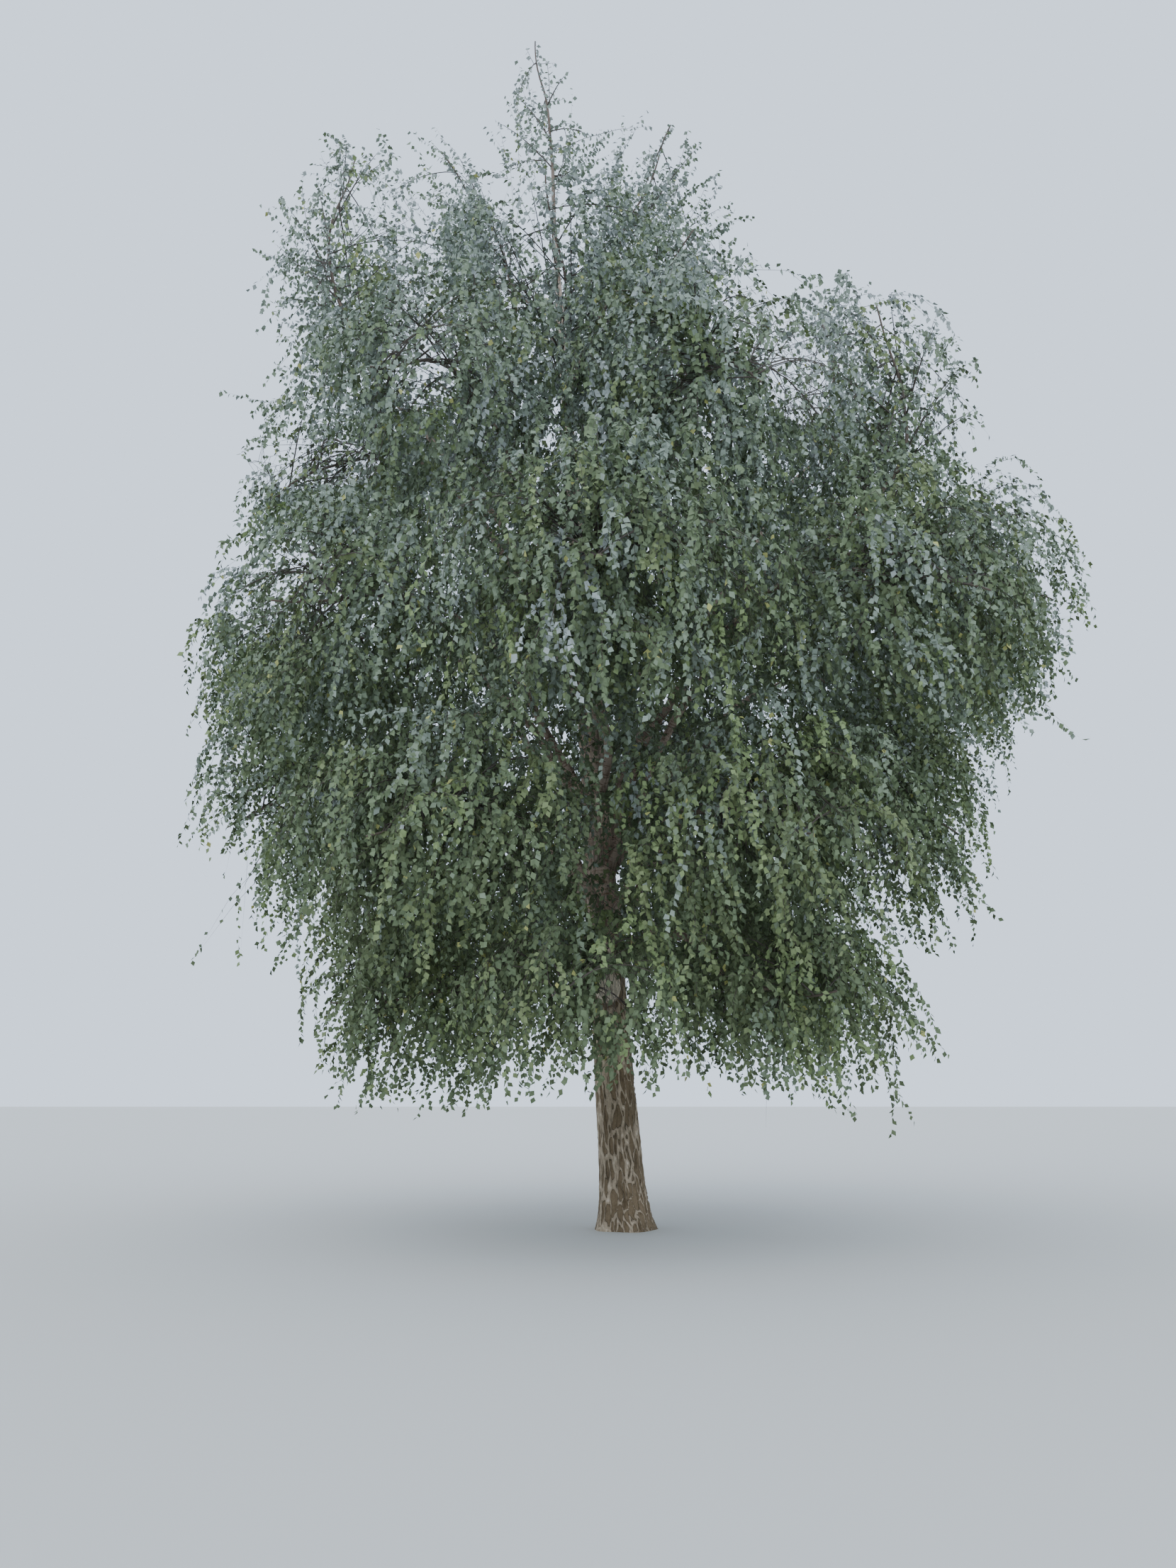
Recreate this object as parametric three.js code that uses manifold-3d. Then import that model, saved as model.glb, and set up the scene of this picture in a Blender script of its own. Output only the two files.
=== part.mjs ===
// A mature silver birch with weeping branch ends, in full summer leaf, rooted in level ground.
// Millimetres, +Z up. The origin is the middle of the flat cut at ground level. +X is to the right
// and -Y towards the viewer in the view that the tree was measured from.
// A bearing is counted round the trunk from +X towards +Y.
import * as THREE from "three";
import { mergeVertices } from "three/addons/utils/BufferGeometryUtils.js";
import Module from "manifold-3d";

const wasm = await Module();
wasm.setup();

const V = (x, y, z) => new THREE.Vector3(x, y, z);
const UP = V(0, 0, 1);
const DEGREE = Math.PI / 180;

// Trunk: girth by height, lean and root flare
const TRUNK_TOP = 13000;
const TRUNK_LEAN = -0.068; // sideways per unit of height, towards -X
const TRUNK_SWAY = 45;
const TRUNK_SWAYS = 2.5; // waves from ground to tip
const TRUNK_FOOT_RADIUS = 262;
const TRUNK_TIP_RADIUS = 30;
const TRUNK_TAPER = 0.82; // power of the height by which the radius falls
const FLARE_RADIUS = 95; // added to the radius at ground level
const FLARE_HEIGHT = 260; // the height in which the flare falls to about a third
const FLARE_TOES = 5;
const FLARE_TOE_DEPTH = 0.32; // share of the flare that the hollows between the toes lose
const TRUNK_SIDES = 15;
const TRUNK_STEPS = 14;
const TRUNK_STEP_GROWTH = 1.7; // power by which the steps lengthen above the flare

// The healed wound of a sawn limb, on the side that faces the viewer
const SCAR_HEIGHT = 2610;
const SCAR_BEARING = 264;
const SCAR_HALF_WIDTH = 150;
const SCAR_HALF_HEIGHT = 200;
const SCAR_PROUD = 26;
const SCAR_DEPTH = 115; // half of its size through the trunk

// Boughs and the stems that carry the foliage on
const BOUGH_FOOT_SHARE = 0.36; // of the trunk's radius where the bough leaves it
const BOUGH_TIP_RADIUS = 30;
const BOUGH_SIDES = 5;
const BOUGH_STEPS = 5;
const STEM_TIP_RADIUS = 14;
const STEM_SIDES = 5;
const STEM_STEPS = 4;
const JOINT_GAP = 0.3;
const LIMB_CLEARANCE = 25; // kept by twigs and leaves from every limb but their own stem

// Twigs and leaves. Each leaf solid stands for a whole spray
const TWIG_SIDES = 3;
const TWIG_STEPS = 2;
const TWIG_FOOT_SHARE = 0.8; // of the stem's radius where the twig leaves it
const TWIG_TIP_RADIUS = 9;
const TWIG_REACH = 0.86; // of the way from the middle of the space to its edge
const TWIG_FOOTS = [0.12, 0.95]; // along the stem
const TWIG_WANDER = 0.6; // radians in all by which its direction varies
const GOLDEN_ANGLE = 137.508 * DEGREE;
const GOLDEN_SHARE = 0.618034;
const LEAF_REACH = 0.98; // of the way from the middle of the space to its edge
const LEAF_LONGEST = 1250;
const LEAF_SHORTEST = 480;
const LEAF_WIDTH = 0.5; // of the length
const LEAF_THICKNESS = 0.04; // of the length
const LEAF_WIDEST = 0.42; // of the length, from the root
const LEAVES_ALONG = [0.45, 0.72, 0.985]; // places on a twig
const LEAF_TRIES = 8;
const LEAF_SIDEWAYS = 0.9; // the most that a leaf points to its side of the twig
const LEAF_HANG = [0.3, 1.2]; // how far it points down, times its habit's drop
const LEAF_ROLL = 1.4; // radians in all by which its face varies
const LEAF_LENGTHS = [0.9, 1]; // share of the way to the space's edge
const SPACE_GAP = 12; // from a space's edge to its neighbour's

// Where each mass of foliage is, how far its space reaches from its middle, and what carries it:
// [name, habit, bearing, reach from the trunk's axis, height, half sizes out, across and up,
//  height at which its bough leaves the trunk, or its own stem where the last word is "trunk"]
const MASSES = [
  ["crown_tip", "rising", 190, 50, 14300, 850, 850, 1900, TRUNK_TOP, "trunk"],
  ["crown_right", "rising", 4, 1500, 12900, 1150, 1200, 2000, 10300, "trunk"],
  ["crown_left", "rising", 168, 1500, 12950, 1150, 1250, 1750, 10700, "trunk"],
  ["crown_back", "rising", 86, 2000, 12300, 1300, 1700, 1700, 9900, "trunk"],
  ["upper_front", "rising", 266, 2050, 10400, 1350, 1800, 1600, 8600, "trunk"],
  ["upper_front_right", "rising", 318, 2000, 10500, 1250, 1300, 1450, 9100, "trunk"],
  ["upper_back_left", "rising", 133, 3000, 10800, 1450, 1700, 1700, 7700, "trunk"],
  ["upper_left", "rising", 202, 2700, 11450, 1300, 1500, 1950, 6900],
  ["upper_right", "rising", 22, 4100, 11350, 1200, 1400, 1750, 4250],
  ["high_right", "rising", 335, 3800, 8950, 1450, 1900, 1650, 5900],
  ["high_back_right", "weeping", 45, 4300, 9100, 1600, 2000, 1800, 5600],
  ["high_back", "weeping", 102, 3850, 8700, 1600, 2000, 1800, 6000],
  ["high_left", "weeping", 179, 2950, 8900, 1400, 1900, 1750, 5900],
  ["high_front_left", "weeping", 245, 3350, 8200, 1600, 1800, 1750, 5500],
  ["high_front_right", "weeping", 292, 3500, 8050, 1600, 1950, 1750, 5200],
  ["mid_right", "weeping", 353, 4500, 7300, 1650, 1800, 1850, 4650],
  ["mid_front_right", "weeping", 314, 4150, 6100, 1650, 1800, 1700, 3700],
  ["mid_front", "weeping", 271, 4100, 5800, 1600, 2000, 1700, 3850],
  ["mid_front_left", "weeping", 231, 3600, 6000, 1550, 1800, 1700, 4300],
  ["mid_left", "weeping", 180, 3400, 6500, 1650, 1900, 1600, 4450],
  ["mid_back_left", "weeping", 130, 4200, 6200, 1650, 2000, 1700, 4150],
  ["mid_back", "weeping", 73, 4500, 6200, 1700, 2100, 1700, 3600],
  ["mid_back_right", "weeping", 27, 4800, 6400, 1700, 1900, 1700, 3750],
  ["low_right", "weeping", 356, 3100, 4550, 1600, 1900, 1750, 3350],
  ["low_front_right", "weeping", 295, 3300, 3800, 1550, 1800, 1600, 3150],
  ["low_front_left", "weeping", 243, 3300, 3800, 1550, 1900, 1600, 3300],
  ["low_left", "weeping", 176, 3450, 4750, 1550, 1800, 1600, 3450],
  ["low_back_left", "weeping", 115, 3500, 3700, 1600, 2000, 1700, 3100],
  ["low_back_right", "weeping", 53, 3550, 3900, 1600, 2000, 1700, 3000],
  ["skirt_left", "weeping", 202, 2250, 2500, 1350, 1600, 1250, 2900],
  ["skirt_front", "weeping", 262, 2800, 2400, 1200, 1500, 1150, 2700],
  ["skirt_front_right", "weeping", 305, 2700, 2450, 1300, 1500, 1150, 2850],
  ["skirt_right", "weeping", 6, 2250, 2750, 1250, 1550, 1300, 2750],
];

// How a mass grows, by its habit. Places are in half sizes of its space, angles above the horizon
const HABITS = {
  rising: {
    boughArch: 0.07, // rise of the bough's middle, as a share of its length along the ground
    entry: { inwards: 0.35, up: -0.8 }, // where the bough's tip is
    end: { outwards: 0.12, up: 0.93 }, // where the stem ends
    run: 0.5, // of the stem's length that it keeps the bough's direction for
    twigs: 5,
    rise: [-40, 75],
    twigArch: 0.08,
    drop: 0.5, // how far its leaves hang
  },
  weeping: {
    boughArch: 0.2,
    entry: { inwards: 0.75, up: 0.3 },
    end: { outwards: 0.7, up: -0.1 },
    run: 0.4,
    twigs: 5,
    rise: [-55, 60],
    twigArch: 0.22,
    drop: 1,
  },
};

const COLOURS = { bark: 0x8d8478, limb: 0x7a6a5c, leaf: 0x4c5f47, topLeaf: 0x5c6f55 };
const BARK = new THREE.MeshStandardMaterial({ color: COLOURS.bark, roughness: 0.95, metalness: 0 });
const LIMB_BARK = new THREE.MeshStandardMaterial({ color: COLOURS.limb, roughness: 0.9, metalness: 0 });
const LEAVES = new THREE.MeshStandardMaterial({ color: COLOURS.leaf, roughness: 0.6, metalness: 0 });
const TOP_LEAVES = new THREE.MeshStandardMaterial({ color: COLOURS.topLeaf, roughness: 0.6, metalness: 0 });

// The same numbers between 0 and 1 every time for one seed
const SPACE_SEED = 7919;
const TWIG_SEED = 101;

function seeded(seed) {
  let state = seed >>> 0;
  return () => {
    state = (Math.imul(state, 1664525) + 1013904223) >>> 0;
    return state / 2 ** 32;
  };
}

function within([low, high], share) {
  return low + (high - low) * share;
}

// Solids to and from geometry
function solidOf(geometry) {
  const bare = geometry.clone();
  bare.deleteAttribute("normal");
  bare.deleteAttribute("uv");
  const merged = mergeVertices(bare, 1e-3);
  return new wasm.Manifold(
    new wasm.Mesh({
      numProp: 3,
      vertProperties: new Float32Array(merged.attributes.position.array),
      triVerts: new Uint32Array(merged.index.array),
    }),
  );
}

function geometryOf(solid) {
  const mesh = solid.getMesh();
  const geometry = new THREE.BufferGeometry();
  geometry.setAttribute("position", new THREE.BufferAttribute(new Float32Array(mesh.vertProperties), 3));
  geometry.setIndex(new THREE.BufferAttribute(new Uint32Array(mesh.triVerts), 1));
  geometry.computeVertexNormals();
  return geometry;
}

// The largest body alone: loose scraps are dropped, and a sealed hollow is filled
function oneBody(solid) {
  return solid.decompose().reduce((most, body) => (body.volume() > most.volume() ? body : most));
}

function boxesMeet(a, b) {
  const [p, q] = [a.boundingBox(), b.boundingBox()];
  return [0, 1, 2].every((i) => p.min[i] <= q.max[i] && q.min[i] <= p.max[i]);
}

function touches(solid, obstacles) {
  return obstacles.some((other) => boxesMeet(solid, other) && !solid.intersect(other).isEmpty());
}

// A limb is a cylinder bent onto a curve. radiusAt(t, angle) is its radius from foot to tip
function limb(curve, radiusAt, sides, steps) {
  const geometry = new THREE.CylinderGeometry(1, 1, 1, sides, steps);
  const frames = curve.computeFrenetFrames(steps, false);
  const places = geometry.attributes.position;
  for (let i = 0; i < places.count; i++) {
    const [x, y, z] = [places.getX(i), places.getY(i), places.getZ(i)];
    const step = Math.round((y + 0.5) * steps);
    const radius = radiusAt(step / steps, Math.atan2(z, x));
    const point = curve
      .getPointAt(step / steps)
      .addScaledVector(frames.normals[step], x * radius)
      .addScaledVector(frames.binormals[step], -z * radius);
    places.setXYZ(i, point.x, point.y, point.z);
  }
  return geometry;
}

// A point on the middle line of a limb, which is straight between its steps
function axisPoint(curve, along, steps) {
  const step = Math.min(Math.floor(along * steps), steps - 1);
  const [from, to] = [step, step + 1].map((each) => curve.getPointAt(each / steps));
  return from.lerp(to, along * steps - step);
}

// Trunk
function axisAt(height) {
  const share = height / TRUNK_TOP;
  return V(
    TRUNK_LEAN * height,
    TRUNK_SWAY * Math.sin(share * TRUNK_SWAYS * 2 * Math.PI) * (1 - share),
    height,
  );
}

// Steps are closer together near the ground, where the flare is
function stepHeight(t) {
  return TRUNK_TOP * t ** TRUNK_STEP_GROWTH;
}

class TrunkAxis extends THREE.Curve {
  getPointAt(t) {
    return axisAt(stepHeight(t));
  }

  getTangentAt() {
    return UP.clone();
  }
}

function trunkRadius(height) {
  return within([TRUNK_FOOT_RADIUS, TRUNK_TIP_RADIUS], (height / TRUNK_TOP) ** TRUNK_TAPER);
}

function flareAt(height, angle) {
  const toes = 1 - FLARE_TOE_DEPTH * (0.5 - 0.5 * Math.cos(FLARE_TOES * angle));
  return FLARE_RADIUS * toes * Math.exp(-height / FLARE_HEIGHT);
}

function trunkSolid(grown = 0) {
  const radiusAt = (t, angle) => trunkRadius(stepHeight(t)) + flareAt(stepHeight(t), angle) + grown;
  const shape = limb(new TrunkAxis(), radiusAt, TRUNK_SIDES, TRUNK_STEPS);
  return solidOf(shape).add(solidOf(scarShape(grown)));
}

function outwards(bearing) {
  return V(Math.cos(bearing * DEGREE), Math.sin(bearing * DEGREE), 0);
}

function scarShape(grown) {
  const out = outwards(SCAR_BEARING);
  const shape = new THREE.SphereGeometry(1, 10, 6);
  shape.scale(SCAR_HALF_WIDTH + grown, SCAR_HALF_HEIGHT + grown, SCAR_DEPTH + grown);
  const across = UP.clone().cross(out);
  const middle = trunkRadius(SCAR_HEIGHT) + SCAR_PROUD - SCAR_DEPTH;
  const at = axisAt(SCAR_HEIGHT).addScaledVector(out, middle);
  shape.applyMatrix4(new THREE.Matrix4().makeBasis(across, UP, out).setPosition(at));
  return shape;
}

// Spaces: each is an ellipsoid, cut off from its neighbours' by flat walls, and so convex
function spaceOf([name, habit, bearing, reach, height, out, across, up, foot, carrier], index) {
  const outward = outwards(bearing);
  const middle = V(TRUNK_LEAN * height, 0, height).addScaledVector(outward, reach);
  return {
    name,
    habit: HABITS[habit],
    middle,
    axes: [
      [outward, out],
      [UP.clone().cross(outward), across],
      [UP, up],
    ],
    outward,
    up,
    out,
    foot,
    onTrunk: carrier === "trunk",
    seed: SPACE_SEED * (index + 1),
  };
}

function halfSizeAlong(space, direction) {
  return Math.hypot(...space.axes.map(([axis, size]) => axis.dot(direction) * size));
}

function addWalls(spaces) {
  for (const space of spaces) {
    space.walls = spaces
      .filter((other) => other !== space)
      .map((other) => {
        const normal = other.middle.clone().sub(space.middle);
        const apart = normal.length();
        normal.normalize();
        const mine = halfSizeAlong(space, normal);
        const theirs = halfSizeAlong(other, normal);
        return { normal, distance: (apart * mine) / (mine + theirs) - SPACE_GAP };
      });
  }
}

// How far the space reaches from its middle in one direction
function reachAlong(space, direction) {
  const edge = 1 / Math.hypot(...space.axes.map(([axis, size]) => axis.dot(direction) / size));
  const toWalls = space.walls.map(({ normal, distance }) => {
    const facing = normal.dot(direction);
    return facing > 0 ? distance / facing : Infinity;
  });
  return Math.min(edge, ...toWalls);
}

function isInside(space, point) {
  const from = point.clone().sub(space.middle);
  const length = from.length();
  return length < 1 || length <= reachAlong(space, from.divideScalar(length));
}

// Boughs and stems
function place(space, { inwards = 0, outwards: beyond = 0, up = 0 }) {
  return space.middle
    .clone()
    .addScaledVector(space.outward, (beyond - inwards) * space.out)
    .addScaledVector(UP, up * space.up);
}

function archedCurve(foot, tip, arch) {
  const bend = foot.clone().add(tip).multiplyScalar(0.5);
  bend.z += 2 * arch * Math.hypot(tip.x - foot.x, tip.y - foot.y);
  return new THREE.QuadraticBezierCurve3(foot, bend, tip);
}

function addLimbs(space) {
  const { habit } = space;
  const foot = axisAt(space.foot);
  const end = place(space, habit.end);
  const footRadius = trunkRadius(space.foot) * BOUGH_FOOT_SHARE;
  if (space.foot === TRUNK_TOP) {
    foot.z += JOINT_GAP;
    const above = foot.clone().setZ(space.middle.z);
    space.stem = new THREE.QuadraticBezierCurve3(foot, above, end);
    space.stemRadius = TRUNK_TIP_RADIUS;
  } else if (space.onTrunk) {
    space.stem = archedCurve(foot, end, habit.boughArch);
    space.stemRadius = footRadius;
  } else {
    const tip = place(space, habit.entry);
    space.bough = archedCurve(foot, tip, habit.boughArch);
    space.boughRadius = footRadius;
    const along = space.bough.getTangent(1);
    const start = tip.clone().addScaledVector(along, JOINT_GAP);
    const bend = start.clone().addScaledVector(along, end.distanceTo(start) * habit.run);
    space.stem = new THREE.QuadraticBezierCurve3(start, bend, end);
    space.stemRadius = BOUGH_TIP_RADIUS;
  }
}

function taper(foot, tip, grown = 0) {
  return (t) => within([foot, tip], t) + grown;
}

function boughSolid(space, grown = 0) {
  const radii = taper(space.boughRadius, BOUGH_TIP_RADIUS, grown);
  return solidOf(limb(space.bough, radii, BOUGH_SIDES, BOUGH_STEPS));
}

function stemSolid(space, grown = 0) {
  const radii = taper(space.stemRadius, STEM_TIP_RADIUS, grown);
  return solidOf(limb(space.stem, radii, STEM_SIDES, STEM_STEPS));
}

// A leaf is a thin tetrahedron: a kite with its midrib on one face and its widest line on the other
function leafSolid(root, along, face, length) {
  const shape = new THREE.TetrahedronGeometry(Math.sqrt(3));
  shape.rotateZ(-45 * DEGREE);
  shape.scale(Math.SQRT1_2, Math.SQRT1_2, 0.5);
  shape.translate(0, 0, -0.5);
  const places = shape.attributes.position;
  for (let i = 0; i < places.count; i++) {
    const [forward, sideways, level] = [places.getX(i), places.getY(i), places.getZ(i)];
    const reach = Math.abs(forward) < 0.5 ? LEAF_WIDEST : (1 + Math.sign(forward)) / 2;
    const width = (sideways * length * LEAF_WIDTH) / 2;
    places.setXYZ(i, reach * length, width, level * LEAF_THICKNESS * length);
  }
  const across = face.clone().cross(along).normalize();
  const normal = along.clone().cross(across);
  shape.applyMatrix4(new THREE.Matrix4().makeBasis(along, across, normal).setPosition(root));
  return solidOf(shape);
}

function leafPoints(root, along, face, length) {
  const across = face.clone().cross(along).normalize();
  const widest = root.clone().addScaledVector(along, length * LEAF_WIDEST);
  const side = (length * LEAF_WIDTH) / 2;
  return [side, -side].map((way) => widest.clone().addScaledVector(across, way));
}

// Twigs leave the stem one after another, each towards its own part of the space's edge
function twigOf(space, index) {
  const random = seeded(space.seed + index * TWIG_SEED);
  const { habit } = space;
  const along = within(TWIG_FOOTS, ((index + 1) * 2 * GOLDEN_SHARE) % 1);
  const rise = within(habit.rise, ((index + 1) * GOLDEN_SHARE) % 1) * DEGREE;
  const turn = index * GOLDEN_ANGLE + (random() - 0.5) * TWIG_WANDER;
  const direction = space.outward.clone().applyAxisAngle(UP, turn).multiplyScalar(Math.cos(rise));
  direction.z = Math.sin(rise);
  const foot = axisPoint(space.stem, along, STEM_STEPS);
  const end = pointAlong(space, direction, TWIG_REACH);
  const bend = foot.clone().add(end).multiplyScalar(0.5);
  bend.z += 2 * habit.twigArch * foot.distanceTo(end);
  const curve = new THREE.QuadraticBezierCurve3(foot, bend, end);
  const footRadius = TWIG_FOOT_SHARE * within([space.stemRadius, STEM_TIP_RADIUS], along);
  const wood = solidOf(limb(curve, taper(footRadius, TWIG_TIP_RADIUS), TWIG_SIDES, TWIG_STEPS));
  return { curve, wood, random };
}

function pointAlong(space, direction, share) {
  return space.middle.clone().addScaledVector(direction, share * reachAlong(space, direction));
}

// A leaf hangs from its twig towards the space's edge, below it and to one side
function leafOf(space, root, side, random) {
  const out = root.clone().sub(space.middle).normalize();
  const towards = out
    .clone()
    .addScaledVector(side, LEAF_SIDEWAYS * random())
    .addScaledVector(UP, -space.habit.drop * within(LEAF_HANG, random()))
    .normalize();
  const tip = pointAlong(space, towards, LEAF_REACH);
  const length = Math.min(LEAF_LONGEST, tip.distanceTo(root)) * within(LEAF_LENGTHS, random());
  const along = tip.sub(root).normalize();
  const face = out.applyAxisAngle(along, (random() - 0.5) * LEAF_ROLL);
  if (length < LEAF_SHORTEST) return null;
  if (!leafPoints(root, along, face, length).every((point) => isInside(space, point))) return null;
  return { length, solid: leafSolid(root, along, face, length) };
}

// Of several tries at each place, the longest leaf that touches nothing stays
function growLeaves(space, twigs, obstacles) {
  const leaves = [];
  for (const twig of twigs) {
    const others = twigs.filter((other) => other !== twig).map((other) => other.wood);
    LEAVES_ALONG.forEach((at, order) => {
      const root = axisPoint(twig.curve, at, TWIG_STEPS);
      const side = twig.curve.getTangentAt(at).cross(UP).normalize();
      if (order % 2) side.negate();
      const near = [...obstacles, ...others, ...leaves];
      const tries = Array.from({ length: LEAF_TRIES }, () => leafOf(space, root, side, twig.random));
      const fitting = tries.filter(Boolean).sort((a, b) => b.length - a.length);
      const leaf = fitting.find(({ solid }) => !touches(solid, near));
      if (leaf) leaves.push(leaf.solid);
    });
  }
  return leaves;
}

function massSolid(space, trunk, limbs) {
  const others = limbs.filter(({ owner, kind }) => owner !== space || kind === "bough");
  const obstacles = [trunk.clear, ...others.map((each) => each.clear)];
  const twigs = [];
  for (let index = 0; index < space.habit.twigs; index++) {
    const twig = twigOf(space, index);
    if (!touches(twig.wood, obstacles)) twigs.push(twig);
  }
  let solid = stemSolid(space);
  for (const twig of twigs) solid = solid.add(twig.wood);
  for (const leaf of growLeaves(space, twigs, obstacles)) solid = solid.add(leaf);
  return oneBody(solid.subtract(trunk.gap));
}

// The whole tree
function nodeOf(name, solid, material) {
  const mesh = new THREE.Mesh(geometryOf(solid), material);
  mesh.name = name;
  return mesh;
}

const spaces = MASSES.map(spaceOf);
addWalls(spaces);
spaces.forEach(addLimbs);

const trunk = {
  solid: trunkSolid(),
  gap: trunkSolid(JOINT_GAP),
  clear: trunkSolid(LIMB_CLEARANCE),
};
const limbs = spaces.flatMap((space) => {
  const stem = { owner: space, kind: "stem", clear: stemSolid(space, LIMB_CLEARANCE) };
  if (!space.bough) return [stem];
  return [{ owner: space, kind: "bough", clear: boughSolid(space, LIMB_CLEARANCE) }, stem];
});

const tree = new THREE.Group();
tree.name = "silver_birch";
tree.add(nodeOf("trunk", trunk.solid, BARK));
for (const space of spaces) {
  if (space.bough) {
    tree.add(nodeOf(`bough_${space.name}`, oneBody(boughSolid(space).subtract(trunk.gap)), LIMB_BARK));
  }
  const leaves = space.habit === HABITS.weeping ? LEAVES : TOP_LEAVES;
  tree.add(nodeOf(`foliage_${space.name}`, massSolid(space, trunk, limbs), leaves));
}

export default tree;
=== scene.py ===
import math
from itertools import permutations

import bmesh
import bpy
import numpy as np
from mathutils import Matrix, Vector, noise


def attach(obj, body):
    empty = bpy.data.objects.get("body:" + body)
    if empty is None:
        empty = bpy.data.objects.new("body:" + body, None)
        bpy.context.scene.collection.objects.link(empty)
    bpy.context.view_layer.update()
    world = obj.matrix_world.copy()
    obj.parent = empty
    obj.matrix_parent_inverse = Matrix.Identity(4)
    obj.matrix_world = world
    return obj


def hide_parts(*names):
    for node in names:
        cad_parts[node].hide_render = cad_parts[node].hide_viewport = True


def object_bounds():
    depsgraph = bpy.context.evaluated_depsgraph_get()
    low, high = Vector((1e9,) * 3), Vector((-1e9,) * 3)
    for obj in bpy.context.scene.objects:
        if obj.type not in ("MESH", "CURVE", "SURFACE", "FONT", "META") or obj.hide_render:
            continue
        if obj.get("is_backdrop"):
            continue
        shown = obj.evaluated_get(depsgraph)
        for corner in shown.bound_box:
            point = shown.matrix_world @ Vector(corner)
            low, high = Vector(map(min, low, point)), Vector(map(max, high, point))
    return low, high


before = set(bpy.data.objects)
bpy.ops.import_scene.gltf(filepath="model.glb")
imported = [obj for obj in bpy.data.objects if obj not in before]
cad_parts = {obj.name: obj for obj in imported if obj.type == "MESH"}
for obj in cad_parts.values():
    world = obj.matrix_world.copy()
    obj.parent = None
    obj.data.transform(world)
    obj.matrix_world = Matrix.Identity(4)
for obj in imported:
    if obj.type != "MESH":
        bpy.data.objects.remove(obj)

CAD_LOW, CAD_HIGH = (np.array(corner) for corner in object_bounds())
UP = np.array([0.0, 0.0, 1.0])

# Steps that never fall in line again: golden ones for twigs round a stem, and three that together
# fill a space evenly
GOLDEN_ANGLE = math.radians(137.508)
GOLDEN_SHARE = 0.618034
EVEN_STEPS = (0.819173, 0.671044, 0.5497)

# Camera: at eye height, looking a little upwards
EYE = np.array([-0.415, -13.8, 1.5])
PITCH = math.radians(14.5)
PHOTO_HEIGHT = 2212
FOCAL_PIXELS = 1661
SENSOR = 36
VIEW_DEPTH = 200

# Floor and light
FLOOR_HALF_SIZE = 90
FLOOR_PALE = (0.66, 0.65, 0.61)
OVERCAST, OVERCAST_STRENGTH = (0.56, 0.65, 0.78), 2.03
KEY_COLOUR, KEY_STRENGTH = (1, 0.98, 0.95), 0.6
KEY_SOFTNESS = math.radians(70)
KEY_TURN = [math.radians(angle) for angle in (38, -24, 0)]

# Trunk: girth by height, lean and root flare
TRUNK_TOP = 13.0
TRUNK_LEAN = -0.068
TRUNK_SWAY = 0.045
TRUNK_SWAYS = 2.5
TRUNK_FOOT_RADIUS = 0.262
TRUNK_TIP_RADIUS = 0.03
TRUNK_TAPER = 0.82
FLARE_RADIUS = 0.095
FLARE_HEIGHT = 0.26
FLARE_TOES = 5
FLARE_TOE_DEPTH = 0.32
TRUNK_SIDES = 168
TRUNK_STEPS = 420
TRUNK_STEP_GROWTH = 1.7
LUMP_DEPTH, LUMP_GRAIN = 0.05, (1.3, 1.3, 1.1)

# The healed wound of a sawn limb: pale and swollen, with wrinkles across, a lip near its top and a
# dark rim. The troughs of the wrinkles and the dent of the lip are darkened: painted shade. The
# places of the lip and the rim are in the wound's half sizes
SCAR_HEIGHT = 2.66
SCAR_BEARING = 264
SCAR_HALF_WIDTH = 0.17
SCAR_HALF_HEIGHT = 0.22
SCAR_PROUD = 0.026
SCAR_EDGE, SCAR_FADE = 1.25, 0.3
SCAR_SHADE = -0.45
WRINKLES, WRINKLE_WAVE, WRINKLE_GRAIN = 16, 4, (7, 7, 7)
# How far the wrinkles stand out, and how much their troughs are darkened: painted shade
WRINKLE_RELIEF, WRINKLE_SHADE = 0.004, 0.28
LIP_HEIGHT, LIP_SAG, LIP_WIDTH, LIP_REACH = 0.62, 0.25, 0.07, 0.8
# How deep the lip's dent is, and how much it is darkened: painted shade
LIP_DEPTH, LIP_SHADE = 0.02, 0.8
RIM_PLACE, RIM_WIDTH = 1.12, 0.1

# Bark: long brown furrows between the pale ridges that are left of the young bark. A grain says how
# fine a noise is along each axis
FURROW_WIDTH = 0.066
FURROW_LENGTH = 0.36
FURROW_WARPS = [(0.5, (7, 7, 4), (11, 23, 37)), (0.22, (21, 21, 10), (5, 17, 29))]
RIDGE_SHARE, LEAST_RIDGE_SHARE = 0.19, 0.03
RIDGE_VARIETY, RIDGE_GRAIN = 0.9, (4, 4, 1.6)
# The pale ridges widen towards the trunk's left side, which makes that side paler: partly the bark's own,
# partly painted light from the left
RIDGES_TO_THE_LIT_LEFT, RIDGES_UPWARDS = 1.3, 0.05
RIDGE_RELIEF = 0.014
ROUGH_SHARE, ROUGH_GRAIN = 0.35, (30, 30, 9)
RUGGED_TOP, RUGGED_FADE = 3.3, 2.2
SMOOTH_SHARE = 0.12
SMOOTH_DEPTH, SMOOTH_GRAIN = 0.2, (1.5, 1.5, 9)

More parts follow.
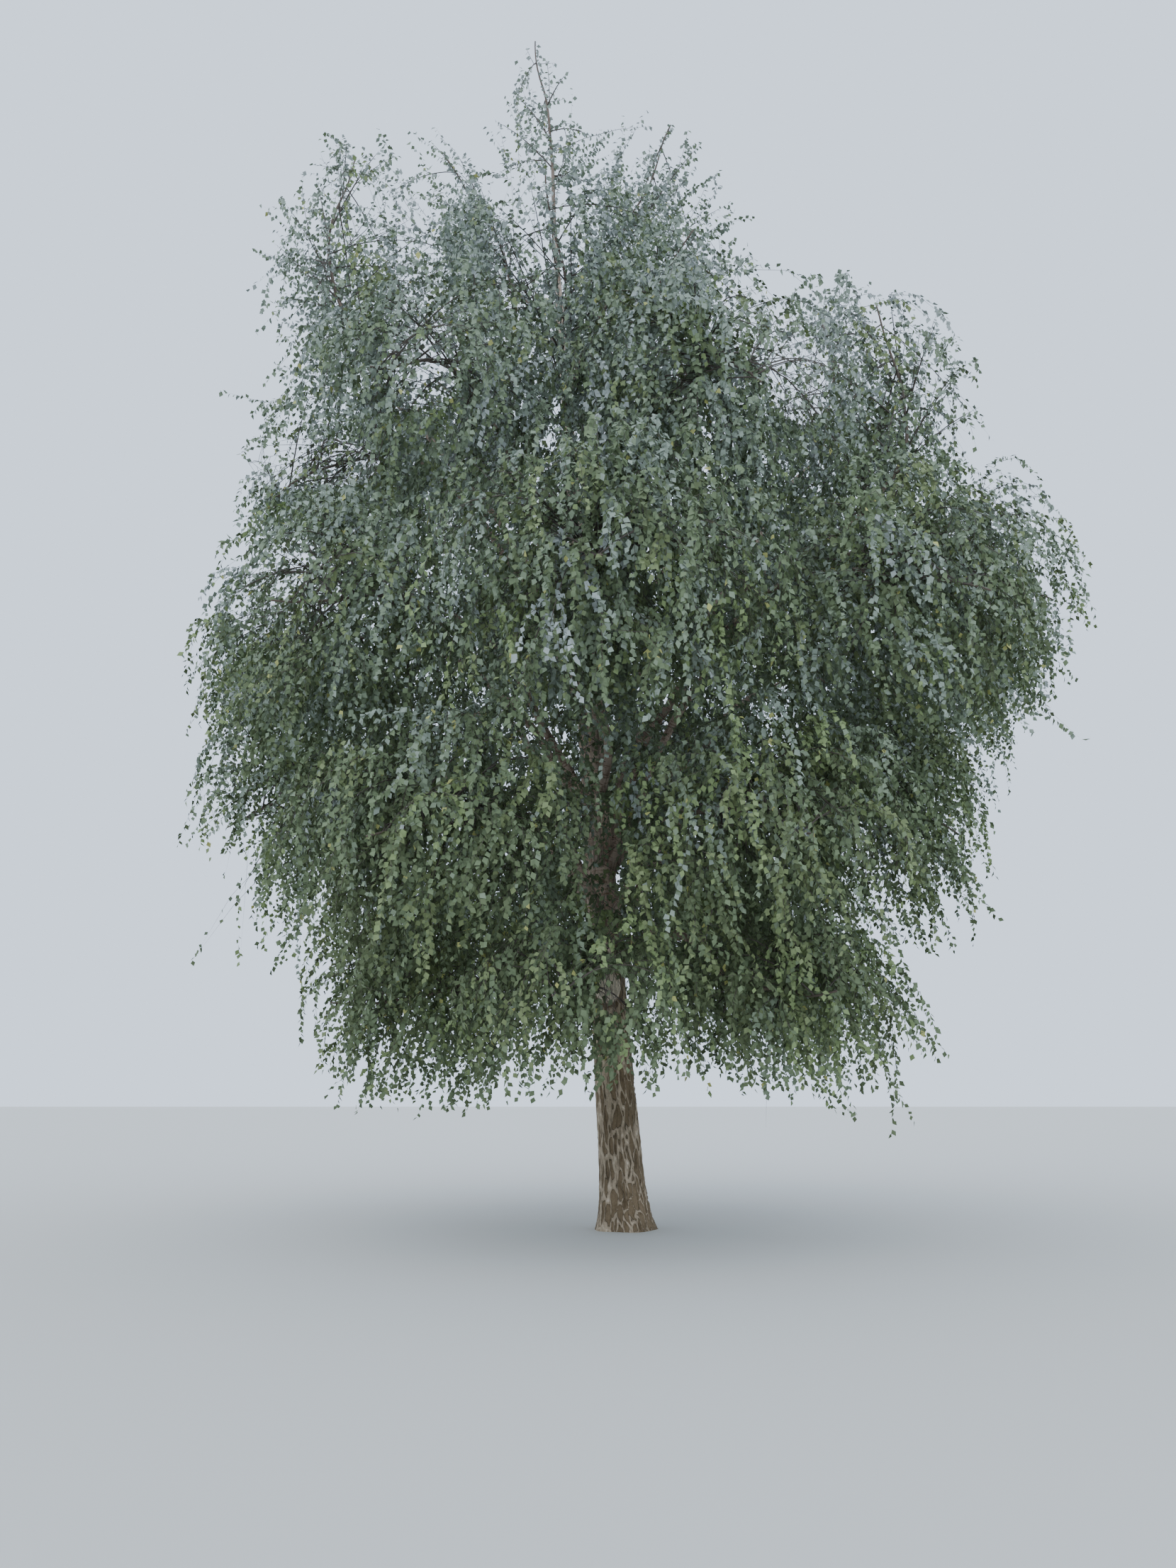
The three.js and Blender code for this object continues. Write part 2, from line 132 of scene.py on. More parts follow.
# Colours of the bark from its ridges into its furrows and of the young bark above, the depths of
# relief at which they show, and the dark bark of thin wood. Between ridge and furrow the colour
# darkens in two steps, a darker copy of the ridge colour and then the dark edge band: painted shade
# on the ridges' sides, the edge band partly the bark's own dark fissures
TRUNK_COLOURS = {
    "pale": (0.88, 0.79, 0.65),
    "ridge": (0.51, 0.42, 0.31),
    # The edge: painted shade beside the ridges, partly the bark's own dark fissures
    "edge": (0.1, 0.078, 0.05),
    "furrow": (0.235, 0.178, 0.112),
    "young": (0.82, 0.67, 0.57),
    "marks": (0.66, 0.58, 0.5),
}
LIMB_COLOURS = {
    "pale": (0.5, 0.42, 0.36),
    "ridge": (0.5, 0.42, 0.36),
    # The edge: painted shade beside the ridges, partly the bark's own dark fissures
    "edge": (0.28, 0.21, 0.16),
    "furrow": (0.4, 0.31, 0.25),
    "young": (0.64, 0.51, 0.43),
    "marks": (0.5, 0.45, 0.42),
}
# The two stops between ridge and furrow are painted shade on the ridges' sides, and the share below is how
# much of the ridge colour its shaded copy keeps
COLOUR_DEPTHS = {"pale": -0.25, "ridge": 0.1, "shaded_ridge": 0.38, "edge": 0.47, "furrow": 0.6}
RIDGE_SHADE_SHARE = 0.75
BARK_ROUGHNESS, BARK_GLOSS = 0.9, 0.25
RELIEF_DEPTHS = (-0.5, 1)
TRUNK_YOUNG_FOOT, LIMB_YOUNG_FOOT = 2.8, 0.0
YOUNG_FADE, YOUNG_SHARE = 0.9, 0.9
THIN_RADII = (0.012, 0.05)
THIN_BARK = (0.16, 0.125, 0.1)
TWIG_BARK = (0.12, 0.098, 0.08)

# Noises on the bark: how fine each is, how stretched along the wood and how detailed, and the tints
# that it gives
RAGGED_NOISE, RAGGED_LEVELS, RAGGED_DEPTH = (26.0, 0.45, 5), (0.2, 0.8), 0.22
WEATHER_NOISE, WEATHER_TINTS = (3.0, 0.35, 4), [(0.35, (0.72, 0.7, 0.66)), (0.65, (1.12, 1.08, 1.04))]
CRACK_NOISE, CRACK_TINTS = (32.0, 0.16, 4), [(0.38, (0.5, 0.48, 0.45)), (0.47, (1, 1, 1))]
SPECKLE_NOISE, SPECKLE_TINTS = (60.0, 0.8, 5), [(0.3, (0.75, 0.74, 0.72)), (0.7, (1.12, 1.12, 1.12))]
MARK_NOISE, MARK_LEVELS = (9.0, 7.0, 3), (0.38, 0.46)
GRAIN_NOISE, GRAIN_STRENGTH, GRAIN_HEIGHT = (34.0, 0.3, 6), 0.7, 0.012
CRACK_SHARE, SPECKLE_SHARE = 0.75, 0.7

# Limbs: each is a bough and the stem that carries it on through its mass of foliage
BOUGH_FOOT_SHARE = 0.36
BOUGH_TIP_RADIUS = 0.03
STEM_TIP_RADIUS = 0.009
LIMB_SIDES = 12
LIMB_STEPS = 40
LIMB_SWAY, SWAY_GRAIN, SWAY_OFFSETS = 0.16, (0.9, 1, 1), (0, 7.3, 14.6)
LIMB_ROUGHNESS, LIMB_GRAIN = 0.09, (1.4, 1.4, 5)
LIMB_RELIEF, LIMB_RELIEF_SPREAD = 0.2, 0.35
COLLAR_SWELL, COLLAR_LENGTH = 0.35, 0.16
CURVE_POINTS = 129
ASKEW = np.array([0.3, 1, 0.2])

# Twigs: the main ones by the rule of the solids, carried on to finer ones
TWIG_FOOT_SHARE = 0.8
TWIG_REACH = 0.86
TWIG_FOOTS = (0.12, 0.95)
TWIG_WANDER = 0.6
TWIG_FOOT_RADIUS, TWIG_TIP_RADIUS = 0.016, 0.003
SOLID_TWIGS = 5
TWIGS_PER_CUBIC_METRE = 1.2
SHOOTS_PER_CUBIC_METRE = 13
SHOOT_REACH = 0.93
INNERMOST = 0.04
PARENT_PLACES = 13
BOX_MARGIN = 0.06
SPACE_GAP = 0.012
FRONT_EDGE = 0.05
SPACE_SEED = 7919
TWIG_SEED = 101

# Masses of foliage. Each has a name, a habit, the bearing and distance of its middle from the trunk,
# its height, its half sizes outwards, across and up, and the height of its limb's foot. The last
# word says whether its stem starts on the trunk itself, without a bough of its own
MASSES = [
    ("crown_tip", "rising", 190, 0.05, 14.3, 0.85, 0.85, 1.9, TRUNK_TOP, "trunk"),
    ("crown_right", "rising", 4, 1.5, 12.9, 1.15, 1.2, 2.0, 10.3, "trunk"),
    ("crown_left", "rising", 168, 1.5, 12.95, 1.15, 1.25, 1.75, 10.7, "trunk"),
    ("crown_back", "rising", 86, 2.0, 12.3, 1.3, 1.7, 1.7, 9.9, "trunk"),
    ("upper_front", "rising", 266, 2.05, 10.4, 1.35, 1.8, 1.6, 8.6, "trunk"),
    ("upper_front_right", "rising", 318, 2.0, 10.5, 1.25, 1.3, 1.45, 9.1, "trunk"),
    ("upper_back_left", "rising", 133, 3.0, 10.8, 1.45, 1.7, 1.7, 7.7, "trunk"),
    ("upper_left", "rising", 202, 2.7, 11.45, 1.3, 1.5, 1.95, 6.9, ""),
    ("upper_right", "rising", 22, 4.1, 11.35, 1.2, 1.4, 1.75, 4.25, ""),
    ("high_right", "rising", 335, 3.8, 8.95, 1.45, 1.9, 1.65, 5.9, ""),
    ("high_back_right", "weeping", 45, 4.3, 9.1, 1.6, 2.0, 1.8, 5.6, ""),
    ("high_back", "weeping", 102, 3.85, 8.7, 1.6, 2.0, 1.8, 6.0, ""),
    ("high_left", "weeping", 179, 2.95, 8.9, 1.4, 1.9, 1.75, 5.9, ""),
    ("high_front_left", "weeping", 245, 3.35, 8.2, 1.6, 1.8, 1.75, 5.5, ""),
    ("high_front_right", "weeping", 292, 3.5, 8.05, 1.6, 1.95, 1.75, 5.2, ""),
    ("mid_right", "weeping", 353, 4.5, 7.3, 1.65, 1.8, 1.85, 4.65, ""),
    ("mid_front_right", "weeping", 314, 4.15, 6.1, 1.65, 1.8, 1.7, 3.7, ""),
    ("mid_front", "weeping", 271, 4.1, 5.8, 1.6, 2.0, 1.7, 3.85, ""),
    ("mid_front_left", "weeping", 231, 3.6, 6.0, 1.55, 1.8, 1.7, 4.3, ""),
    ("mid_left", "weeping", 180, 3.4, 6.5, 1.65, 1.9, 1.6, 4.45, ""),
    ("mid_back_left", "weeping", 130, 4.2, 6.2, 1.65, 2.0, 1.7, 4.15, ""),
    ("mid_back", "weeping", 73, 4.5, 6.2, 1.7, 2.1, 1.7, 3.6, ""),
    ("mid_back_right", "weeping", 27, 4.8, 6.4, 1.7, 1.9, 1.7, 3.75, ""),
    ("low_right", "weeping", 356, 3.1, 4.55, 1.6, 1.9, 1.75, 3.35, ""),
    ("low_front_right", "weeping", 295, 3.3, 3.8, 1.55, 1.8, 1.6, 3.15, ""),
    ("low_front_left", "weeping", 243, 3.3, 3.8, 1.55, 1.9, 1.6, 3.3, ""),
    ("low_left", "weeping", 176, 3.45, 4.75, 1.55, 1.8, 1.6, 3.45, ""),
    ("low_back_left", "weeping", 115, 3.5, 3.7, 1.6, 2.0, 1.7, 3.1, ""),
    ("low_back_right", "weeping", 53, 3.55, 3.9, 1.6, 2.0, 1.7, 3.0, ""),
    ("skirt_left", "weeping", 202, 2.25, 2.5, 1.35, 1.6, 1.25, 2.9, ""),
    ("skirt_front", "weeping", 262, 2.8, 2.4, 1.2, 1.5, 1.15, 2.7, ""),
    ("skirt_front_right", "weeping", 305, 2.7, 2.45, 1.3, 1.5, 1.15, 2.85, ""),
    ("skirt_right", "weeping", 6, 2.25, 2.75, 1.25, 1.55, 1.3, 2.75, ""),
]

# How a mass grows, by its habit. Places are in half sizes of its space, angles above the horizon
HABITS = {
    "rising": {
        "bough_arch": 0.07,
        "entry": (-0.35, -0.8),
        "end": (0.12, 0.93),
        "run": 0.5,
        "rise": (-40, 75),
        "twig_arch": 0.08,
    },
    "weeping": {
        "bough_arch": 0.2,
        "entry": (-0.75, 0.3),
        "end": (0.7, -0.1),
        "run": 0.4,
        "rise": (-55, 60),
        "twig_arch": 0.22,
    },
}


def within(limits, share):
    return limits[0] + (limits[1] - limits[0]) * share


def share_between(values, low, high):
    return np.clip((values - low) / (high - low), 0, 1)


def seeded(seed):
    """The same numbers between 0 and 1 every time for one seed, as the solids draw them."""
    state = seed

    def draw():
        nonlocal state
        state = (state * 1664525 + 1013904223) % 2**32
        return state / 2**32

    return draw


def unit(vectors):
    return vectors / np.maximum(np.linalg.norm(vectors, axis=-1, keepdims=True), 1e-9)


# Camera, floor and light
def add_camera():
    data = bpy.data.cameras.new("camera")
    data.sensor_width = SENSOR
    data.lens = FOCAL_PIXELS / PHOTO_HEIGHT * SENSOR
    data.clip_end = VIEW_DEPTH
    camera = bpy.data.objects.new("camera", data)
    camera.location = EYE
    camera.rotation_euler = (math.pi / 2 + PITCH, 0, 0)
    bpy.context.scene.collection.objects.link(camera)
    bpy.context.scene.camera = camera


def plain_material(name, colour, roughness, gloss=0.5):
    material = bpy.data.materials.new(name)
    material.use_nodes = True
    shader = material.node_tree.nodes["Principled BSDF"]
    shader.inputs["Base Color"].default_value = (*colour, 1)
    shader.inputs["Roughness"].default_value = roughness
    shader.inputs["Specular IOR Level"].default_value = gloss
    return material


def add_stage():
    shape = bmesh.new()
    bmesh.ops.create_grid(shape, x_segments=1, y_segments=1, size=FLOOR_HALF_SIZE)
    floor = piece_from(shape, "floor", plain_material("floor_pale", FLOOR_PALE, roughness=0.9))
    floor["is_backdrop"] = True

    world = bpy.data.worlds.new("overcast")
    world.use_nodes = True
    sky = world.node_tree.nodes["Background"]
    sky.inputs["Color"].default_value = (*OVERCAST, 1)
    sky.inputs["Strength"].default_value = OVERCAST_STRENGTH
    bpy.context.scene.world = world

    data = bpy.data.lights.new("soft_key", "SUN")
    data.energy = KEY_STRENGTH
    data.angle = KEY_SOFTNESS
    data.color = KEY_COLOUR
    key = bpy.data.objects.new("soft_key", data)
    key.rotation_euler = KEY_TURN
    bpy.context.scene.collection.objects.link(key)


# Pieces
def placed(mesh, name, materials):
    piece = bpy.data.objects.new(name, mesh)
    bpy.context.scene.collection.objects.link(piece)
    for material in materials:
        mesh.materials.append(material)
    return piece


def piece_from(shape, name, material):
    mesh = bpy.data.meshes.new(name)
    shape.to_mesh(mesh)
    shape.free()
    return placed(mesh, name, [material])


def wooden_piece(shape, name, material):
    bmesh.ops.recalc_face_normals(shape, faces=shape.faces)
    for face in shape.faces:
        face.smooth = True
    return piece_from(shape, name, material)


def piece_from_arrays(name, places, faces, material_numbers, materials):
    """One joined mesh of many small things: places (n, 3), and faces (m, corners) of one size."""
    mesh = bpy.data.meshes.new(name)
    corners = faces.shape[1]
    mesh.vertices.add(len(places))
    mesh.vertices.foreach_set("co", places.astype(np.float32).ravel())
    mesh.loops.add(faces.size)
    mesh.loops.foreach_set("vertex_index", faces.astype(np.int32).ravel())
    mesh.polygons.add(len(faces))
    mesh.polygons.foreach_set("loop_start", np.arange(0, faces.size, corners, dtype=np.int32))
    mesh.polygons.foreach_set("material_index", material_numbers.astype(np.int32))
    mesh.update(calc_edges=True)
    mesh.validate()
    return placed(mesh, name, materials)


def declare(piece, slot, *nodes):
    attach(piece, "root")
    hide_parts(*nodes)


# Bark
def bark_material(name, colours, young_foot):
    """Bark that reads the shape's own coordinates from before it was bent, and its relief."""
    material = bpy.data.materials.new(name)
    material.use_nodes = True
    nodes, links = material.node_tree.nodes, material.node_tree.links
    shader = nodes["Principled BSDF"]
    shader.inputs["Roughness"].default_value = BARK_ROUGHNESS
    shader.inputs["Specular IOR Level"].default_value = BARK_GLOSS

    grain = nodes.new("ShaderNodeAttribute")
    grain.attribute_name = "grain"
    relief = nodes.new("ShaderNodeAttribute")
    relief.attribute_name = "relief"

    def stretched(fineness, stretch, detail):
        mapping = nodes.new("ShaderNodeMapping")
        mapping.inputs["Scale"].default_value = (1, 1, stretch)
        links.new(grain.outputs["Vector"], mapping.inputs["Vector"])
        texture = nodes.new("ShaderNodeTexNoise")
        texture.inputs["Scale"].default_value = fineness
        texture.inputs["Detail"].default_value = detail
        links.new(mapping.outputs["Vector"], texture.inputs["Vector"])
        return texture.outputs["Fac"]

    def ramp(source, stops):
        node = nodes.new("ShaderNodeValToRGB")
        while len(node.color_ramp.elements) < len(stops):
            node.color_ramp.elements.new(0.5)
        for element, (place, colour) in zip(node.color_ramp.elements, stops):
            element.position = place
            element.color = (*colour, 1)
        links.new(source, node.inputs["Fac"])
        return node.outputs["Color"]

    def ranged(source, low, high, to_low, to_high):
        node = nodes.new("ShaderNodeMapRange")
        ends = {"From Min": low, "From Max": high, "To Min": to_low, "To Max": to_high}
        for socket, value in ends.items():
            node.inputs[socket].default_value = value
        links.new(source, node.inputs["Value"])
        return node.outputs["Result"]

    def added(first, second):
        node = nodes.new("ShaderNodeMath")
        node.operation = "ADD"
        links.new(first, node.inputs[0])
        links.new(second, node.inputs[1])
        return node.outputs["Value"]

    def mixed(kind, share, first, second):
        node = nodes.new("ShaderNodeMix")
        node.data_type = "RGBA"
        node.blend_type = kind
        for source, socket in ((share, "Factor"), (first, "A"), (second, "B")):
            if isinstance(source, (float, tuple)):
                node.inputs[socket].default_value = source
            else:
                links.new(source, node.inputs[socket])
        return node.outputs["Result"]

    ragged = ranged(stretched(*RAGGED_NOISE), *RAGGED_LEVELS, -RAGGED_DEPTH, RAGGED_DEPTH)
    depth = ranged(added(relief.outputs["Fac"], ragged), *RELIEF_DEPTHS, 0, 1)
    # A darker copy of the ridge colour: painted shade on the ridges' sides
    shaded_ridge = tuple(RIDGE_SHADE_SHARE * value for value in colours["ridge"])
    shades = {**colours, "shaded_ridge": shaded_ridge}
    stops = [(share_between(at, *RELIEF_DEPTHS), shades[kind]) for kind, at in COLOUR_DEPTHS.items()]
    colour = ramp(depth, stops)
    weather = ramp(stretched(*WEATHER_NOISE), WEATHER_TINTS)
    cracks = ramp(stretched(*CRACK_NOISE), CRACK_TINTS)
    speckle = ramp(stretched(*SPECKLE_NOISE), SPECKLE_TINTS)
    marks = ramp(stretched(*MARK_NOISE), [(MARK_LEVELS[0], colours["marks"]), (MARK_LEVELS[1], (1, 1, 1))])
    height = nodes.new("ShaderNodeSeparateXYZ")
    links.new(grain.outputs["Vector"], height.inputs["Vector"])
    is_young = ranged(height.outputs["Z"], young_foot, young_foot + YOUNG_FADE, 0, YOUNG_SHARE)
    colour = mixed("MIX", is_young, colour, (*colours["young"], 1))
    colour = mixed("MULTIPLY", 1.0, colour, weather)
    colour = mixed("MULTIPLY", CRACK_SHARE, colour, cracks)
    colour = mixed("MULTIPLY", SPECKLE_SHARE, colour, speckle)
    colour = mixed("MULTIPLY", is_young, colour, marks)
    girth = nodes.new("ShaderNodeVectorMath")
    girth.operation = "MULTIPLY"
    girth.inputs[1].default_value = (1, 1, 0)
    links.new(grain.outputs["Vector"], girth.inputs[0])
    radius = nodes.new("ShaderNodeVectorMath")
    radius.operation = "LENGTH"
    links.new(girth.outputs["Vector"], radius.inputs[0])
    is_thin = ranged(radius.outputs["Value"], *THIN_RADII, 1, 0)
    colour = mixed("MIX", is_thin, colour, (*THIN_BARK, 1))
    links.new(colour, shader.inputs["Base Color"])

    bump = nodes.new("ShaderNodeBump")
    bump.inputs["Strength"].default_value = GRAIN_STRENGTH
    bump.inputs["Distance"].default_value = GRAIN_HEIGHT
    links.new(stretched(*GRAIN_NOISE), bump.inputs["Height"])
    links.new(bump.outputs["Normal"], shader.inputs["Normal"])
    return material


def wobble(place, grain, seed):
    """Smooth noise from -1 to 1 on a place."""
    x, y, z = place
    return noise.noise(Vector((x * grain[0] + seed, y * grain[1], z * grain[2])))


def axis_at(height):
    share = height / TRUNK_TOP
    sway = TRUNK_SWAY * math.sin(share * TRUNK_SWAYS * 2 * math.pi) * (1 - share)
    return np.array([TRUNK_LEAN * height, sway, height])


def trunk_radius(height):
    return within((TRUNK_FOOT_RADIUS, TRUNK_TIP_RADIUS), (height / TRUNK_TOP) ** TRUNK_TAPER)


def flare_at(height, angle):
    toes = 1 - FLARE_TOE_DEPTH * (0.5 - 0.5 * math.cos(FLARE_TOES * angle))
    return FLARE_RADIUS * toes * math.exp(-height / FLARE_HEIGHT)


def furrow_depth(place):
    """0 along the ridges, which meet in a net of long meshes, and 1 in the furrows between them."""
    x, y, z = place
    meshes = Vector((x / FURROW_WIDTH, y / FURROW_WIDTH, z / FURROW_LENGTH))
    warp = Vector((0, 0, 0))
    for strength, grain, seeds in FURROW_WARPS:
        warp += Vector([strength * wobble(place, grain, seed) for seed in seeds])
    distances, _ = noise.voronoi(meshes + warp)
    variety = RIDGE_VARIETY * wobble(place, RIDGE_GRAIN, seed=53)
    # Wider pale ridges on the left side: partly the bark's own, partly painted light from the left
    share = RIDGE_SHARE * (1 + variety - RIDGES_TO_THE_LIT_LEFT * x + RIDGES_UPWARDS * z)
    return min(1.0, (distances[1] - distances[0]) / 2 / max(share, LEAST_RIDGE_SHARE))


def scar_place(angle, height):
    """Sideways and upwards from the middle of the wound, in its half sizes."""
    turn = (angle - math.radians(SCAR_BEARING) + math.pi) % (2 * math.pi) - math.pi
    sideways = turn * trunk_radius(SCAR_HEIGHT) / SCAR_HALF_WIDTH
    return sideways, (height - SCAR_HEIGHT) / SCAR_HALF_HEIGHT


def with_scar(angle, height, radius, shown):
    """The radius and the relief where the healed wound takes the place of the bark."""
    sideways, upwards = scar_place(angle, height)
    spread = math.hypot(sideways, upwards)
    if spread >= SCAR_EDGE:
        return radius, shown
    cover = min(1.0, (SCAR_EDGE - spread) / SCAR_FADE)
    wave = WRINKLE_WAVE * wobble((math.cos(angle), math.sin(angle), height), WRINKLE_GRAIN, seed=77)
    wrinkles = 0.5 + 0.5 * math.sin(WRINKLES * upwards + wave)
    lip = math.exp(-(((upwards - LIP_HEIGHT + LIP_SAG * sideways**2) / LIP_WIDTH) ** 2))
    lip *= abs(sideways) < LIP_REACH
    healed = trunk_radius(height) + SCAR_PROUD * math.sqrt(max(0.0, 1 - min(1, spread) ** 2))
    healed += WRINKLE_RELIEF * wrinkles - LIP_DEPTH * lip
    # The wrinkles' troughs and the lip's dent are darkened: painted shade. The last term is the scar's own
    # pale colour
    shade = WRINKLE_SHADE * (1 - wrinkles) + LIP_SHADE * lip + SCAR_SHADE
    rim = math.exp(-(((spread - RIM_PLACE) / RIM_WIDTH) ** 2))
    return radius * (1 - cover) + healed * cover, shown * (1 - cover) + shade * cover + rim


def trunk_surface(angle, height):
    """The radius and the relief of the trunk's bark at one place."""
    radius = trunk_radius(height) + flare_at(height, angle)
    rugged = 1 / (1 + math.exp((height - RUGGED_TOP) * RUGGED_FADE))
    round_it = (math.cos(angle), math.sin(angle), height)
    place = (radius * round_it[0], radius * round_it[1], height)
    depth = furrow_depth(place)
    smooth = SMOOTH_DEPTH + SMOOTH_DEPTH * wobble(round_it, SMOOTH_GRAIN, seed=41)
    rough = wobble(place, ROUGH_GRAIN, seed=61)
    shown = depth * rugged + smooth * (1 - rugged)
    lumps = LUMP_DEPTH * radius * wobble(round_it, LUMP_GRAIN, seed=5)
    radius += lumps + RIDGE_RELIEF * (0.5 - shown + ROUGH_SHARE * rough) * (SMOOTH_SHARE + rugged)
    return with_scar(angle, height, radius, shown)


def cylinder_shape(sides, steps):
    """A closed cylinder of radius 1 from -0.5 to 0.5, with rings at even steps, and bark's layers."""
    shape = bmesh.new()
    bmesh.ops.create_cone(shape, cap_ends=True, segments=sides, radius1=1, radius2=1, depth=1)
    upright = [edge for edge in shape.edges if abs(edge.verts[0].co.z - edge.verts[1].co.z) > 0.5]
    bmesh.ops.subdivide_edges(shape, edges=upright, cuts=steps - 1, use_grid_fill=True)
    layers = shape.verts.layers
    return shape, layers.float_vector.new("grain"), layers.float.new("relief")


def add_trunk(material):
    shape, grain, relief = cylinder_shape(TRUNK_SIDES, TRUNK_STEPS)
    for vertex in shape.verts:
        height = TRUNK_TOP * max(0.0, vertex.co.z + 0.5) ** TRUNK_STEP_GROWTH
        angle = math.atan2(vertex.co.y, vertex.co.x)
        radius, shown = trunk_surface(angle, height)
        place = np.array([math.cos(angle) * radius, math.sin(angle) * radius, 0])
        vertex[grain] = (place[0], place[1], height)
        vertex[relief] = shown
        vertex.co = place + axis_at(height)
    trunk = wooden_piece(shape, "trunk_bark", material)
    declare(trunk, "trunk_bark", "trunk")


# Curves: a quadratic Bezier from foot over bend to end, read by the share of its length
def curve_points(foot, bend, end, count):
    fine = np.linspace(0, 1, CURVE_POINTS)[:, None]
    points = foot * (1 - fine) ** 2 + bend * 2 * fine * (1 - fine) + end * fine**2
    lengths = np.concatenate([[0], np.cumsum(np.linalg.norm(np.diff(points, axis=0), axis=1))])
    wanted = np.linspace(0, lengths[-1], count)
    return np.stack([np.interp(wanted, lengths, points[:, axis]) for axis in range(3)], axis=1)


def arched(foot, tip, arch):
    middle = (foot + tip) / 2
    return middle + UP * 2 * arch * np.linalg.norm((tip - foot)[:2])


def outwards(bearing):
    angle = math.radians(bearing)
    return np.array([math.cos(angle), math.sin(angle), 0.0])


class Space:
    """An ellipsoid filled by one mass of foliage, and the limb that carries it."""

    def __init__(self, index, row):
        self.name, habit, bearing, reach, height, out, across, up, self.foot, carrier = row
        self.habit = HABITS[habit]
        self.weeping = habit == "weeping"
        self.outward = outwards(bearing)
        self.middle = np.array([TRUNK_LEAN * height, 0, height]) + self.outward * reach
        self.axes = np.array([self.outward, np.cross(UP, self.outward), UP])
        self.sizes = np.array([out, across, up])
        self.on_trunk = carrier == "trunk"
        self.seed = SPACE_SEED * (index + 1)
        self.random = np.random.default_rng(self.seed)
        self.walls = []

    def region(self):
        """Its level, and the side of the trunk that it is on."""
        return self.name.split("_")[0], "front" if self.outward[1] < FRONT_EDGE else "back"

    def count(self, per_cubic_metre):
        return round(per_cubic_metre * 4 / 3 * math.pi * np.prod(self.sizes))

    def half_size_along(self, direction):
        return np.linalg.norm((self.axes @ direction) * self.sizes)

    def reach_along(self, direction):
        """How far the space reaches from its middle in one direction, up to its walls."""
        edge = 1 / np.linalg.norm((self.axes @ direction) / self.sizes)
        facing = [(distance, normal @ direction) for normal, distance in self.walls]
        return min([edge] + [distance / faces for distance, faces in facing if faces > 0])

    def depth_of(self, points):
        """0 in the middle of the ellipsoid, 1 at its edge."""
        return np.linalg.norm((points - self.middle) @ self.axes.T / self.sizes, axis=-1)

    def inside_walls(self, points):
        return np.all([(points - self.middle) @ normal < distance for normal, distance in self.walls], axis=0)

    def place(self, outward, up):
        return self.middle + self.outward * outward * self.sizes[0] + UP * up * self.sizes[2]


def add_walls(spaces):
    for space, other in permutations(spaces, 2):
        between = other.middle - space.middle
        apart = np.linalg.norm(between)
        normal = between / apart
        mine, theirs = space.half_size_along(normal), other.half_size_along(normal)
        space.walls.append((normal, apart * mine / (mine + theirs) - SPACE_GAP))


def grow_limb(space):
    """The axis of the limb from the trunk to the stem's end, its radii, and where the stem starts."""
    foot = axis_at(space.foot)
    end = space.place(*space.habit["end"])
    foot_radius = trunk_radius(space.foot) * BOUGH_FOOT_SHARE
    if space.foot == TRUNK_TOP:
        above = np.array([foot[0], foot[1], space.middle[2]])
        points = curve_points(foot, above, end, LIMB_STEPS + 1)
        radii = np.linspace(TRUNK_TIP_RADIUS, STEM_TIP_RADIUS, LIMB_STEPS + 1)
        start = 0
    elif space.on_trunk:
        points = curve_points(foot, arched(foot, end, space.habit["bough_arch"]), end, LIMB_STEPS + 1)
        radii = np.linspace(foot_radius, STEM_TIP_RADIUS, LIMB_STEPS + 1)
        start = 0
    else:
        tip = space.place(*space.habit["entry"])
        bend = arched(foot, tip, space.habit["bough_arch"])
        half = LIMB_STEPS // 2
        bough = curve_points(foot, bend, tip, half + 1)
        along = unit(tip - bend)
        stem_bend = tip + along * np.linalg.norm(end - tip) * space.habit["run"]
        stem = curve_points(tip, stem_bend, end, half + 1)
        points = np.concatenate([bough, stem[1:]])
        radii = np.concatenate([
            np.linspace(foot_radius, BOUGH_TIP_RADIUS, half + 1),
            np.linspace(BOUGH_TIP_RADIUS, STEM_TIP_RADIUS, half + 1)[1:],
        ])
        start = half
    lengths = np.concatenate([[0], np.cumsum(np.linalg.norm(np.diff(points, axis=0), axis=1))])
    for step, length in enumerate(lengths):
        sway = [wobble((length, space.seed % 97, offset), SWAY_GRAIN, seed=3) for offset in SWAY_OFFSETS]
        points[step] += LIMB_SWAY * min(1, length) * np.array(sway)
    space.limb, space.radii, space.lengths, space.stem_start = points, radii, lengths, start


def stem_point(space, share):
    lengths = space.lengths[space.stem_start:]
    wanted = within((lengths[0], lengths[-1]), share)
    point = [np.interp(wanted, space.lengths, space.limb[:, axis]) for axis in range(3)]
    return np.array(point), float(np.interp(wanted, space.lengths, space.radii))


